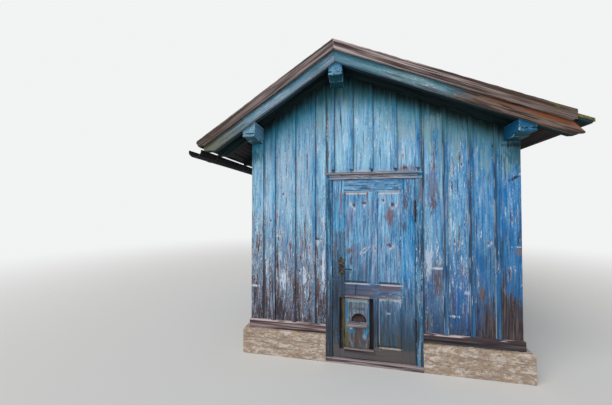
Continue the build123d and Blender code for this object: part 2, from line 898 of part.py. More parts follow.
def build():
    """Every node of the hut, by name."""
    nodes = {}
    nodes["plinth_sides"], nodes["plinth_ends"] = make_plinth()
    nodes["floor_slab"] = [box(-inner_x, inner_x, -inner_y, inner_y, 0, floor_thickness)]
    nodes["threshold"] = [
        box(frame_left, frame_right, front_face - plinth_front_ledge, -inner_y, 0, floor_thickness)
    ]
    nodes["sill_beams_sides"], nodes["sill_beams_ends"] = make_sills()
    nodes["wall_posts"] = make_posts()
    nodes["wall_rails"] = make_rails()
    nodes["wall_plate_left"] = [make_beam(-half_width, -inner_x, plate_left_underside)]
    nodes["wall_plate_right"] = [make_beam(inner_x, half_width, plate_right_underside)]
    nodes["ridge_beam"] = [make_beam(ridge_left, ridge_right, ridge_beam_underside)]

    left, right, over = make_front_walls()
    nodes["front_wall_left"] = [left]
    nodes["front_wall_right"] = [right]
    nodes["front_wall_over_door"] = [over]
    nodes["left_wall"] = [make_side_wall(-1, plate_left_underside)]
    nodes["right_wall"] = [make_side_wall(1, plate_right_underside)]
    nodes["rear_wall"] = [make_rear_wall()]
    nodes["battens_front"] = make_front_battens()
    nodes["battens_sides"] = make_side_battens()
    nodes["battens_rear"] = make_rear_battens()
    nodes["corner_boards"] = make_corner_boards()

    board_level = rafter_height
    roofing_level = rafter_height + roof_board_thickness
    nodes["rafters_left"] = make_rafters(rafter_end_left, rafter_end_left)
    nodes["rafters_right"] = make_rafters(rafter_end_right, inner_end_right)
    nodes["barge_boards_left"] = make_barge_boards(barge_end_left)
    nodes["barge_boards_right"] = make_barge_boards(barge_end_right, barge_rot_length)
    for side, board_end, verge_end in (
        ("left", roof_board_end_left, verge_end_left),
        ("right", roof_board_end_right, verge_end_right),
    ):
        lip = math.copysign(roofing_lip, board_end)
        nodes["roof_boards_" + side] = [
            make_roof_layer(board_level, roof_board_thickness, board_end)
        ]
        nodes["roofing_" + side] = [
            make_roof_layer(roofing_level, roofing_thickness, board_end + lip)
        ]
        nodes["verge_planks_" + side] = make_verge_planks(verge_end)
    nodes["gutter"] = [make_gutter()]
    nodes["gutter_brackets"] = make_gutter_brackets()

    nodes["door_frame_posts"], head = make_door_frame()
    nodes["door_frame_head"] = [head]
    nodes["door_cornice"] = [make_cornice()]
    nodes["door_stiles"], nodes["door_rails"], nodes["door_muntins"] = make_leaf()
    nodes["door_panels"] = [fielded_panel(*opening) for opening in panel_openings()]
    board, backing = make_patch()
    nodes["door_patch_board"] = [board]
    nodes["door_patch_backing"] = [backing]
    nodes["door_patch_ledges"] = make_patch_ledges()
    nodes["lock_plates"] = [
        lock_plate(leaf_front - lock_plate_thickness, leaf_front),
        lock_plate(leaf_back, leaf_back + lock_plate_thickness),
    ]
    nodes["lever_handle"] = [make_lever()]
    nodes["hinge_pins"], nodes["hinge_knuckles"] = make_hinges()
    return nodes


def main():
    os.makedirs("parts", exist_ok=True)
    for name, solids in build().items():
        shape = solids[0] if len(solids) == 1 else Compound(children=solids)
        export_step(shape, os.path.join("parts", name + ".step"))


main()
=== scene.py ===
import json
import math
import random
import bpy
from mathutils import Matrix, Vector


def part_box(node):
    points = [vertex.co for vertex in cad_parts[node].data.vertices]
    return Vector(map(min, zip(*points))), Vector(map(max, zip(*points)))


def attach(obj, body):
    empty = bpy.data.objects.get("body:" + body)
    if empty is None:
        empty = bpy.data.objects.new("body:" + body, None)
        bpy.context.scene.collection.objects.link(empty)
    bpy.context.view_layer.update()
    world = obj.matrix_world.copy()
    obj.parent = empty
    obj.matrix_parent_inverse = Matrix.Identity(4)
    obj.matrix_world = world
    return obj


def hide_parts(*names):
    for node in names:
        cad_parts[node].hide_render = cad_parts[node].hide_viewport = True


bl_info = {
    "name": "Painted board hut",
    "version": (1, 0, 0),
    "blender": (4, 5, 0),
    "location": "View3D > Sidebar > Hut",
    "description": "Weathered boards, roof and door of a small painted hut",
    "category": "Add Mesh",
}

import bmesh
import bpy
from bpy.props import FloatProperty, FloatVectorProperty, IntProperty, PointerProperty
from mathutils import Euler, Vector, noise

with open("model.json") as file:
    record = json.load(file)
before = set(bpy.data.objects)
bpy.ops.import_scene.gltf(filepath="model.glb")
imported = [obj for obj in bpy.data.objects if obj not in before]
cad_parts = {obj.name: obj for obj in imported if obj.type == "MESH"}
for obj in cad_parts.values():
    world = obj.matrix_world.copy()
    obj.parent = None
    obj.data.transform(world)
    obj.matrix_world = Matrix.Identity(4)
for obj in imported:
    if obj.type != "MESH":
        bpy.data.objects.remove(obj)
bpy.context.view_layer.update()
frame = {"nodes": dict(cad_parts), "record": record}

# Directions
ALONG_X = Vector((1, 0, 0))
ALONG_Y = Vector((0, 1, 0))
ALONG_Z = Vector((0, 0, 1))

# Turns that lay a pattern's Z along the grain of a piece
UPRIGHT = (0.0, 0.0, 0.0)
LEVEL = (0.0, math.pi / 2, 0.0)
INWARD = (math.pi / 2, 0.0, 0.0)

# Tolerances for merging and cutting the frame's meshes
MERGE = 0.00001
FLAT_TURN = math.radians(1)
SHARP_TURN = math.radians(28)
BEVEL_TURN = math.radians(8)
STEEP_TURN = math.radians(65)

# Noise: how much each finer layer counts, and the spread of one layer by itself
ROUGHNESS = 0.6
LAYER_SPREAD = 0.13

# Settings that many nodes share
COLOUR_MIX = {"data_type": "RGBA"}
SOFT_STEP = {"interpolation_type": "SMOOTHSTEP"}
ADD = {"operation": "ADD"}
SUBTRACT = {"operation": "SUBTRACT"}
MULTIPLY = {"operation": "MULTIPLY"}
LEAST = {"operation": "MINIMUM"}
MOST = {"operation": "MAXIMUM"}

body_of = {
    node: body for body, nodes in frame["record"]["behaviour"]["bodies"].items() for node in nodes
}


def linear(code):
    """The linear colour of an sRGB hex code."""
    parts = [int(code[i:i + 2], 16) / 255 for i in (0, 2, 4)]
    return tuple(c / 12.92 if c <= 0.04045 else ((c + 0.055) / 1.055) ** 2.4 for c in parts)


def colour(code):
    """The same colour with full alpha, for a node's socket."""
    return (*linear(code), 1.0)


class Slope:
    """One side of the roof, with lengths down from the ridge and heights over the rafters' underside."""

    def __init__(self, side, plate):
        beam_low, beam_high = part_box("ridge_beam")
        plate_low, plate_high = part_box(plate)
        self.side = side
        self.foot = Vector(((beam_low.x + beam_high.x) / 2, 0, beam_high.z))
        inner_x = plate_high.x if side < 0 else plate_low.x
        self.pitch = math.atan2(beam_high.z - plate_high.z, abs(inner_x - self.foot.x))
        self.down = Vector((side * math.cos(self.pitch), 0, -math.sin(self.pitch)))
        self.out = Vector((side * math.sin(self.pitch), 0, math.cos(self.pitch)))

    def measure(self, place):
        """Length down the slope and height over the rafters' underside."""
        offset = place - self.foot
        return offset.dot(self.down), offset.dot(self.out)

    def turn(self):
        """The turn that lays a pattern's Z along this slope."""
        return (0.0, -self.side * (self.pitch + math.pi / 2), 0.0)


LEFT_SLOPE = Slope(-1, "wall_plate_left")
RIGHT_SLOPE = Slope(1, "wall_plate_right")


class HutSizes(bpy.types.PropertyGroup):
    """Sizes of the small things that the finish adds."""

    board_gap: FloatProperty(
        name="Board gap", description="Open joint between two boards",
        default=0.005, min=0.0, max=0.02, unit="LENGTH")
    board_arris: FloatProperty(
        name="Board arris", description="Width of the worn edge of a board",
        default=0.003, min=0.0005, max=0.01, unit="LENGTH")
    beam_arris: FloatProperty(
        name="Beam arris", description="Width of the worn edge of a beam or plank",
        default=0.005, min=0.0005, max=0.02, unit="LENGTH")
    board_wave: FloatProperty(
        name="Board wave", description="How far a sawn edge strays from straight",
        default=0.0015, min=0.0, max=0.01, unit="LENGTH")
    cut_step: FloatProperty(
        name="Cut step", description="Length between two cross cuts of a board's mesh",
        default=0.09, min=0.02, max=0.5, unit="LENGTH")
    batten_cover: FloatProperty(
        name="Batten cover", description="How far a batten covers the board beside a joint",
        default=0.023, min=0.0, max=0.1, unit="LENGTH")
    # The dirt beside a batten also stands for the batten's painted shade
    dirt_and_shade_fade: FloatProperty(
        name="Dirt fade", description="Width over which the dirt beside a batten fades",
        default=0.009, min=0.001, max=0.1, unit="LENGTH")
    nail_radius: FloatProperty(
        name="Nail radius", description="Radius of a nail's head",
        default=0.0045, min=0.001, max=0.01, unit="LENGTH")
    deck_board: FloatProperty(
        name="Deck board", description="Width of one roof board",
        default=0.17, min=0.05, max=0.4, unit="LENGTH")
    felt_course: FloatProperty(
        name="Felt course", description="Width of roofing felt that shows in one course",
        default=0.62, min=0.2, max=1.0, unit="LENGTH")
    moss_clumps: IntProperty(
        name="Moss clumps", description="Number of moss cushions on each slope",
        default=260, min=0, max=2000)


class HutColours(bpy.types.PropertyGroup):
    """Colours of the finish, as linear colours."""

    chalk: FloatVectorProperty(
        name="Chalk", description="Primer and chalked paint",
        default=linear("CCDAE8"), min=0.0, max=1.0, size=3, subtype="COLOR")
    bare_dark: FloatVectorProperty(
        name="Dark bare wood", description="Bare wood in the soft growth of the grain",
        default=linear("33282F"), min=0.0, max=1.0, size=3, subtype="COLOR")
    bare_light: FloatVectorProperty(
        name="Light bare wood", description="Bare wood in the hard growth of the grain",
        default=linear("77666E"), min=0.0, max=1.0, size=3, subtype="COLOR")


class StageSettings(bpy.types.PropertyGroup):
    """The camera's place and the light on the hut."""

    lens: FloatProperty(
        name="Lens", description="Focal length in millimetres on a sensor 36 mm wide",
        default=16.0, min=8.0, max=100.0)
    camera_place: FloatVectorProperty(
        name="Camera place", description="Where the camera stands",
        default=(-0.1228, -4.5066, 1.6681), size=3, subtype="TRANSLATION", unit="LENGTH")
    camera_turn: FloatProperty(
        name="Camera turn", description="Turn of the camera to the left",
        default=0.2032, subtype="ANGLE")
    camera_tilt: FloatProperty(
        name="Camera tilt", description="Tilt of the camera above level",
        default=0.0203, subtype="ANGLE")
    sky_strength: FloatProperty(
        name="Sky strength", description="Light from all round", default=0.42, min=0.0, max=3.0)
    sun_strength: FloatProperty(
        name="Sun strength", description="Strength of the soft main light", default=2.1, min=0.0, max=20.0)
    sun_spread: FloatProperty(
        name="Sun spread", description="How wide the main light is, which softens its shadows",
        default=math.radians(50), subtype="ANGLE")


def sizes():
    """The sizes set in the scene."""
    return bpy.context.scene.hut_sizes


def painted(name):
    """A colour of the scene's palette with full alpha."""
    return (*getattr(bpy.context.scene.hut_colours, name), 1.0)


def cad_copy(node):
    """A node's mesh as whole faces: its corners merged and the triangles of each flat dissolved."""
    mesh = bmesh.new()
    mesh.from_mesh(frame["nodes"][node].data)
    bmesh.ops.remove_doubles(mesh, verts=mesh.verts, dist=MERGE)
    bmesh.ops.dissolve_limit(mesh, angle_limit=FLAT_TURN, verts=mesh.verts, edges=mesh.edges)
    for edge in mesh.edges:
        edge.smooth = True
    mesh.faces.layers.float_vector.new("board")
    mesh.faces.layers.float.new("arris")
    mesh.verts.layers.float.new("dirt_and_shade")
    return mesh


def face_groups(mesh):
    """The separate solids in a mesh, as lists of face numbers."""
    mesh.faces.index_update()
    left = set(mesh.faces)
    groups = []
    while left:
        start = left.pop()
        group = [start]
        waiting = [start]
        while waiting:
            face = waiting.pop()
            for edge in face.edges:
                for other in edge.link_faces:
                    if other in left:
                        left.remove(other)
                        group.append(other)
                        waiting.append(other)
        groups.append({face.index for face in group})
    return groups


def middle(mesh):
    """The middle of a mesh's box."""
    low, high = extent(mesh)
    return (low + high) / 2


def extent(mesh):
    """The lowest and the highest corner of a mesh's box."""
    low = Vector([min(vert.co[i] for vert in mesh.verts) for i in range(3)])
    high = Vector([max(vert.co[i] for vert in mesh.verts) for i in range(3)])
    return low, high


def solids(*nodes):
    """The separate solids of some nodes, each a mesh of its own, in order of X, Y and Z."""
    found = []
    for node in nodes:
        whole = cad_copy(node)
        for numbers in face_groups(whole):
            single = whole.copy()
            single.faces.ensure_lookup_table()
            others = [face for face in single.faces if face.index not in numbers]
            bmesh.ops.delete(single, geom=others, context="FACES")
            found.append(single)
        whole.free()
    return sorted(found, key=lambda mesh: tuple(round(value, 3) for value in middle(mesh)))


def all_parts(mesh):
    """A mesh's corners, edges and faces in one list."""
    return mesh.verts[:] + mesh.edges[:] + mesh.faces[:]


def keep_between(mesh, direction, low, high):
    """Cut a closed mesh down to the slab between two planes across a direction."""
    for place, sign in ((low, -1), (high, 1)):
        cut = bmesh.ops.bisect_plane(
            mesh, geom=all_parts(mesh), dist=MERGE, plane_co=direction * place,
            plane_no=direction * sign, clear_outer=True)
        edges = [part for part in cut["geom_cut"] if isinstance(part, bmesh.types.BMEdge)]
        if edges:
            bmesh.ops.holes_fill(mesh, edges=edges)
    return mesh


def cross_cuts(mesh, direction, spacing):
    """Cut a mesh across a direction at even steps, so that its length can bend and wear."""
    places = [vert.co.dot(direction) for vert in mesh.verts]
    low = min(places)
    high = max(places)
    count = max(1, round((high - low) / spacing))
    for i in range(1, count):
        place = low + (high - low) * i / count
        bmesh.ops.bisect_plane(
            mesh, geom=all_parts(mesh), dist=MERGE, plane_co=direction * place, plane_no=direction)
    return mesh


def wear_arrises(mesh, width, segments=1):
    """Round a mesh's sharp edges and mark the new faces as worn."""
    mark = mesh.faces.layers.float["arris"]
    edges = [
        edge for edge in mesh.edges
        if edge.is_manifold and edge.calc_face_angle(0.0) > SHARP_TURN
    ]
    result = bmesh.ops.bevel(
        mesh, geom=edges, offset=width, offset_type="OFFSET", segments=segments, profile=0.5,
        affect="EDGES", clamp_overlap=True, material=-1)
    for face in result["faces"]:
        face[mark] = 1.0
    return mesh


def stray(mesh, amount, length, seed, along=None):
    """Move a mesh's corners a little by smooth noise, slowly along one direction."""
    for vert in mesh.verts:
        place = vert.co / length
        if along is not None:
            place -= along * place.dot(along) * 0.85
        vert.co += noise.noise_vector(place + Vector((seed, 0, 0))) * amount
    return mesh


def set_board(mesh, seed, wear=0.0, chalk=0.0):
    """Give a board its own stretch of grain, and more or less wear and chalk."""
    layer = mesh.faces.layers.float_vector["board"]
    for face in mesh.faces:
        face[layer] = (seed, wear, chalk)
    return mesh


def add_piece(name, meshes, material, nodes=(), body="house", sharp=SHARP_TURN):
    """Join meshes to one piece that rides on its body and stands for some nodes."""
    whole = bmesh.new()
    scratch = bpy.data.meshes.new("scratch")
    for mesh in meshes:
        mesh.to_mesh(scratch)
        whole.from_mesh(scratch)
        mesh.free()
    bpy.data.meshes.remove(scratch)
    for face in whole.faces:
        face.smooth = True
        face.material_index = 0
    data = bpy.data.meshes.new(name)
    whole.to_mesh(data)
    whole.free()
    for spare in ("custom_normal", "sharp_face"):
        if spare in data.attributes:
            data.attributes.remove(data.attributes[spare])
    data.materials.append(material)
    data.set_sharp_from_angle(angle=sharp)
    piece = bpy.data.objects.new(name, data)
    bpy.context.scene.collection.objects.link(piece)
    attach(piece, body_of[nodes[0]] if nodes else body)
    if nodes:
        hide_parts(*nodes)
    return piece


def finish_node(material, *nodes):
    """Give CAD nodes that stay as they are their material."""
    for node in nodes:
        slots = frame["nodes"][node].data.materials
        slots.clear()
        slots.append(material)


def add_node(tree, kind, settings=None, inputs=None):
    """Add a shader node with its settings; an input is a value or the socket that feeds it."""
    node = tree.nodes.new("ShaderNode" + kind)
    for name, value in (settings or {}).items():
        setattr(node, name, value)
    for key, value in (inputs or {}).items():
        if isinstance(value, bpy.types.NodeSocket):
            tree.links.new(value, node.inputs[key])
        else:
            node.inputs[key].default_value = value
    return node


def new_material(name):
    """A material with an empty tree but for its shader and output."""
    material = bpy.data.materials.new(name)
    material.use_nodes = True
    tree = material.node_tree
    tree.nodes.clear()
    shader = add_node(tree, "BsdfPrincipled")
    add_node(tree, "OutputMaterial", None, {"Surface": shader.outputs[0]})
    return material, tree, shader


def grain_place(tree, turn):
    """Object coordinates with Z along the grain, shifted for each board, and the board's own values."""
    place = add_node(tree, "TexCoord").outputs["Object"]
    turned = add_node(tree, "Mapping", {"vector_type": "POINT"}, {"Vector": place, "Rotation": turn})
    board = add_node(tree, "Attribute", {"attribute_name": "board"})
    values = add_node(tree, "SeparateXYZ", None, {0: board.outputs["Vector"]})
    shifted = add_node(
        tree, "VectorMath", {"operation": "MULTIPLY_ADD"},
        {0: values.outputs[0], 1: (3.17, 1.73, 5.31), 2: turned.outputs[0]})
    return shifted.outputs[0], values.outputs[1], values.outputs[2]


def grain_noise(tree, place, width, length, detail=2):
    """Noise drawn out along the grain, with a mean of 0 and a spread of 1; sizes are in metres."""
    scale = (1 / width, 1 / width, 1 / length)
    spread = add_node(tree, "VectorMath", MULTIPLY, {0: place, 1: scale})
    grain = add_node(
        tree, "TexNoise", None,
        {"Vector": spread.outputs[0], "Scale": 1.0, "Detail": detail, "Roughness": ROUGHNESS})
    layers = [ROUGHNESS ** i for i in range(detail + 1)]
    unit = LAYER_SPREAD * math.hypot(*layers) / sum(layers)
    return add_node(
        tree, "MapRange", {"clamp": False},
        {"Value": grain.outputs[0], "From Min": 0.5, "From Max": 0.5 + unit}).outputs[0]


def streaks(tree, place, width, length, low, high, most=1.0, detail=2):
    """A mask of noise drawn out along the grain: 0 where it is under low, most where it is over high."""
    return step(tree, grain_noise(tree, place, width, length, detail), low, high, most)


def field(tree, axis, start, end):
    """How far a point lies from start to end along one axis of the hut, from 0 to 1."""
    place = add_node(tree, "TexCoord").outputs["Object"]
    parts = add_node(tree, "SeparateXYZ", None, {0: place})
    return add_node(
        tree, "MapRange", SOFT_STEP,
        {"Value": parts.outputs["XYZ".index(axis)], "From Min": start, "From Max": end}).outputs[0]


def slope_field(tree, slope, direction, start, end):
    """How far a point lies from start to end along a direction of a slope, from 0 to 1."""
    place = add_node(tree, "TexCoord").outputs["Object"]
    along = add_node(tree, "VectorMath", {"operation": "DOT_PRODUCT"}, {0: place, 1: tuple(direction)})
    zero = slope.foot.dot(direction)
    return add_node(
        tree, "MapRange", SOFT_STEP,
        {"Value": along.outputs["Value"], "From Min": zero + start, "From Max": zero + end}).outputs[0]


def below_eaves(tree, start, end):
    """How far a point lies from start to end below the underside of the rafters, from 0 to 1."""
    fields = [slope_field(tree, slope, slope.out, -start, -end) for slope in (LEFT_SLOPE, RIGHT_SLOPE)]
    return add_node(tree, "Math", MOST, {0: fields[0], 1: fields[1]}).outputs[0]


def weighted(tree, *terms):
    """The sum of sockets or numbers, each with its factor."""
    result = None
    for value, factor in terms:
        part = add_node(tree, "Math", MULTIPLY, {0: value, 1: factor}).outputs[0]
        result = part if result is None else add_node(tree, "Math", ADD, {0: result, 1: part}).outputs[0]
    return result


def product(tree, *factors):
    """The product of sockets or numbers."""
    result = factors[0]
    for factor in factors[1:]:
        result = add_node(tree, "Math", MULTIPLY, {0: result, 1: factor}).outputs[0]
    return result


def over(tree, mask, below, above):
    """A coat of one colour over another where a mask lets it show, feathered by the mask."""
    return add_node(tree, "Mix", COLOUR_MIX, {0: mask, 6: below, 7: above}).outputs[2]


def stain(tree, shader, mask, tint):
    """Lay a tint over what a shader's colour already is."""
    below = shader.inputs["Base Color"].links[0].from_socket
    tree.links.new(over(tree, mask, below, tint), shader.inputs["Base Color"])


def step(tree, value, start, end, most=1.0):
    """A soft step from 0 at start to most at end; both may be sockets."""
    return add_node(
        tree, "MapRange", SOFT_STEP,
        {"Value": value, "From Min": start, "From Max": end, "To Max": most}).outputs[0]


def mark(tree, centre, half, turn=0.0):
    """A mask for one spot on the front: an ellipse round (x, z) with a ragged edge."""
    place = add_node(tree, "TexCoord").outputs["Object"]
    local = add_node(
        tree, "Mapping", {"vector_type": "TEXTURE"},
        {"Vector": place, "Location": (centre[0], 0, centre[1]), "Rotation": (0, turn, 0),
         "Scale": (half[0], 100.0, half[1])})
    away = add_node(tree, "VectorMath", {"operation": "LENGTH"}, {0: local.outputs[0]}).outputs["Value"]
    rough = grain_noise(tree, place, 0.011, 0.07)
    spot = step(tree, weighted(tree, (away, 1.0), (rough, 0.36)), 1.32, 0.64)
    return product(tree, spot, field(tree, "Y", -1.2, -1.4))


def band(tree, low, high, ragged=0.12):
    """A mask for a strip on the front between two (x, z) corners, with ragged edges."""
    place = add_node(tree, "TexCoord").outputs["Object"]
    local = add_node(
        tree, "Mapping", {"vector_type": "TEXTURE"},
        {"Vector": place, "Location": ((low[0] + high[0]) / 2, 0, (low[1] + high[1]) / 2),
         "Scale": ((high[0] - low[0]) / 2, 100.0, (high[1] - low[1]) / 2)})
    size = add_node(tree, "VectorMath", {"operation": "ABSOLUTE"}, {0: local.outputs[0]})
    parts = add_node(tree, "SeparateXYZ", None, {0: size.outputs[0]})
    away = add_node(tree, "Math", MOST, {0: parts.outputs[0], 1: parts.outputs[2]}).outputs[0]
    rough = grain_noise(tree, place, 0.02, 0.02)
    return step(tree, weighted(tree, (away, 1.0), (rough, ragged)), 1.1, 0.9)


def knot(tree, shader, centre, radius):
    """A knot whose resin has pushed the paint off: a dark eye, and pale chips on one side of it."""
    lean = math.sin(centre[0] * 71 + centre[1] * 37)
    scar = (centre[0] + 0.6 * lean * radius, centre[1] - 0.6 * radius)
    stain(tree, shader, product(tree, mark(tree, scar, (2.2 * radius, 3.2 * radius)), 0.35),
          colour("8C93B4"))
    chip = mark(tree, (centre[0] + 1.2 * lean * radius, centre[1] - 0.9 * radius),
                (0.9 * radius, 2.4 * radius), 0.8 * lean)
    stain(tree, shader, product(tree, chip, 0.65), colour("C0D0E0"))
    eye = mark(tree, centre, (1.3 * radius, 0.9 * radius), 0.9 * lean)
    stain(tree, shader, product(tree, eye, 0.85), colour("3C2C34"))


def painted_pine(name, turn, deep, light, tone=0.66, wear=0.0, chalk=0.0, wash=1.0):
    """Oil paint brushed on sawn pine and long weathered: chalked in pale streaks, flaked off along
    the grain down to dark wood, with a pale rim of primer round each flake, and worn off the
    arrises. Tone is how far the paint is from its deep colour to its light one, and wash is how
    much more the foot of the wall has lost than its head. Wear and chalk are counted in spreads of
    the noise. The finest streaks are drawn 13 mm wide, coarser than the real grain, so that they
    show."""
    material, tree, shader = new_material(name)
    place, board_wear, board_chalk = grain_place(tree, turn)
    worn_edge = add_node(tree, "Attribute", {"attribute_name": "arris"}).outputs["Fac"]
    low_down = field(tree, "Z", 1.75, 0.80)
    at_foot = field(tree, "Z", 0.95, 0.40)
    to_right = field(tree, "X", 0.0, 1.5)
    to_left = field(tree, "X", 0.9, -0.2)
    low_left = product(tree, low_down, to_left)
    middle_left = product(tree, field(tree, "Z", 2.05, 1.45), to_left)

    # Brush hairs, strokes, broad patches, flakes, their clusters, and short flecks
    hairs = grain_noise(tree, place, 0.015, 0.20)
    strokes = grain_noise(tree, place, 0.030, 0.60)
    patches = grain_noise(tree, place, 0.110, 0.50)
    flakes = grain_noise(tree, place, 0.013, 0.19)
    clusters = grain_noise(tree, place, 0.038, 0.32)
    flecks = grain_noise(tree, place, 0.013, 0.030, 1)

    # Sound paint, bleached in strokes, deeper and calmer to the right, under a film of lilac chalk
    brushed = weighted(
        tree, (hairs, 0.14), (strokes, 0.12), (patches, 0.08), (flecks, 0.07), (board_chalk, 0.08),
        (to_left, 0.05))
    lively = weighted(tree, (to_right, -0.10), (1.0, 1.0))
    shade = weighted(tree, (product(tree, brushed, lively), 1.0), (to_right, -0.50), (tone, 1.0))
    coat = over(tree, shade, colour(deep), colour(light))
    film = weighted(
        tree, (grain_noise(tree, place, 0.022, 0.40), 0.8), (clusters, 0.6), (flecks, 0.25),
        (low_left, 0.65 * wash), (middle_left, 0.55 * wash), (to_right, -0.8), (-0.75, 1.0))
    coat = over(tree, step(tree, film, 0.45, 1.0, 0.60), coat, colour("8B90B2"))
    grime = over(tree, to_right, colour("505A74"), colour("20466E"))
    coat = over(tree, product(tree, low_down, 0.57 * wash), coat, grime)
    coat = over(tree, product(tree, to_right, 0.30 * wash), coat, colour("2274B4"))

    # Where it has flaked, a rim of primer round each flake, and streaks of chalk by themselves
    bared = weighted(
        tree, (flakes, 0.75), (clusters, 0.38), (hairs, 0.45), (patches, 0.30), (flecks, 0.26),
        (low_left, 1.30 * wash), (middle_left, 0.45 * wash), (low_down, 0.20 * wash),
        (product(tree, at_foot, to_left), 1.1 * wash),
        (board_wear, 1.0), (worn_edge, 0.7), (wear - 2.3, 1.0))
    rim = step(tree, bared, -0.50, -0.15, 0.7)
    washed = weighted(
        tree, (grain_noise(tree, place, 0.013, 0.16), 0.85), (patches, 0.35), (flecks, 0.24),
        (low_left, 0.20 * wash), (middle_left, 0.30 * wash), (low_down, 0.45), (to_right, -0.85),
        (board_chalk, 0.5),
        (worn_edge, 0.9), (chalk - 1.85, 1.0))
    pale = add_node(tree, "Math", MOST, {0: rim, 1: step(tree, washed, 0.0, 0.4, 0.85)}).outputs[0]
    coat = over(tree, pale, coat, painted("chalk"))

    bare = step(tree, bared, 0.0, 0.22, 0.95)
    wood = over(tree, step(tree, hairs, -0.9, 1.5), painted("bare_dark"), painted("bare_light"))
    wood = over(tree, step(tree, strokes, 0.5, 1.2, 0.5), wood, colour("5C3C38"))
    surface = over(tree, bare, coat, wood)
    surface = over(tree, product(tree, at_foot, to_left, 0.40 * wash), surface, colour("33303E"))
    checks = weighted(tree, (grain_noise(tree, place, 0.013, 0.45, 1), 1.0), (low_down, 0.4), (-1.9, 1.0))
    checks = step(tree, checks, 0.0, 0.3, 0.85)
    surface = over(tree, checks, surface, colour("232A40"))
    tree.links.new(surface, shader.inputs["Base Color"])
    # Dark beside the joints: dirt and painted shade on the boards next to the battens, and a dark streak
    # along the left of some battens
    dirt_and_shade_value = add_node(tree, "Attribute", {"attribute_name": "dirt_and_shade"}).outputs["Fac"]
    dirt_and_painted_shade = product(tree, step(tree, dirt_and_shade_value, 0.2, 0.9), step(tree, strokes, -2.0, 0.0, 0.85))
    stain(tree, shader, dirt_and_painted_shade, colour("26323E"))

    rough = add_node(
        tree, "MapRange", None, {"Value": bare, "To Min": 0.6, "To Max": 0.9}).outputs[0]
    tree.links.new(rough, shader.inputs["Roughness"])
    height = weighted(tree, (bare, -0.5), (hairs, 0.10), (checks, -1.0), (pale, 0.2))
    bump = add_node(tree, "Bump", None, {"Height": height, "Strength": 0.8, "Distance": 0.002})
    tree.links.new(bump.outputs[0], shader.inputs["Normal"])
    shader.inputs["Specular IOR Level"].default_value = 0.3
    return material, tree, shader


def painted_wall(name, deep, light, tone=0.66, wear=0.0, chalk=0.0):
    """Painted pine that stands upright under the eaves, with painted shade that makes it greener and
    darker towards the eaves and the ridge.
    """
    material, tree, shader = painted_pine(name, UPRIGHT, deep, light, tone, wear, chalk)
    place, board_wear, board_chalk = grain_place(tree, UPRIGHT)
    # Painted shade under the eaves and below the ridge: a teal tint that darkens to near black right under
    # the eaves
    ragged = weighted(tree, (grain_noise(tree, place, 0.04, 0.35), 0.12), (1.0, 1.0))
    to_right = field(tree, "X", -0.2, 0.9)
    tint = over(tree, to_right, colour("1896BA"), colour("46848E"))
    stain(tree, shader, product(tree, below_eaves(tree, 0.40, 0.05), ragged, 0.80), tint)
    stain(tree, shader, product(tree, field(tree, "Z", 2.66, 2.98), ragged, 0.75), colour("2A4A44"))
    eave_shade = over(tree, to_right, colour("0E4A50"), colour("26403E"))
    stain(tree, shader, product(tree, below_eaves(tree, 0.20, 0.01), ragged, 0.82), eave_shade)
    stain(tree, shader, product(tree, below_eaves(tree, 0.11, 0.0), ragged, 0.90), colour("0C1A1A"))
    return material, tree, shader


def painted_batten(name):
    """The paint of the cover battens: deeper than the boards, worn pale with a painted highlight on
    the side towards the light, painted shade on the side away from it, and bare wood along the left
    of the face."""
    material, tree, shader = painted_wall(name, "0C68A4", "84C2E2", 0.50, -0.3, -0.6)
    place, board_wear, board_chalk = grain_place(tree, UPRIGHT)
    sides = add_node(tree, "SeparateXYZ", None, {0: add_node(tree, "NewGeometry").outputs["Normal"]})
    uneven = streaks(tree, place, 0.10, 0.25, -1.0, 0.8)
    # A painted highlight, with pale wear, on the side faces turned to the light
    lit = step(tree, sides.outputs[0], -0.4, -0.8, 0.60)
    clear = weighted(tree, (below_eaves(tree, 0.45, 0.12), -1.0), (1.0, 1.0))
    stain(tree, shader, product(tree, lit, uneven, clear), colour("A9B6C2"))
    # Painted shade on the side faces turned away from the light
    shaded = step(tree, sides.outputs[0], 0.4, 0.8, 0.45)
    stain(tree, shader, shaded, colour("22303E"))
    stain(tree, shader, product(tree, mark(tree, (0.474, 1.930), (0.014, 0.130)), 0.8), colour("7A4A4C"))
    return material


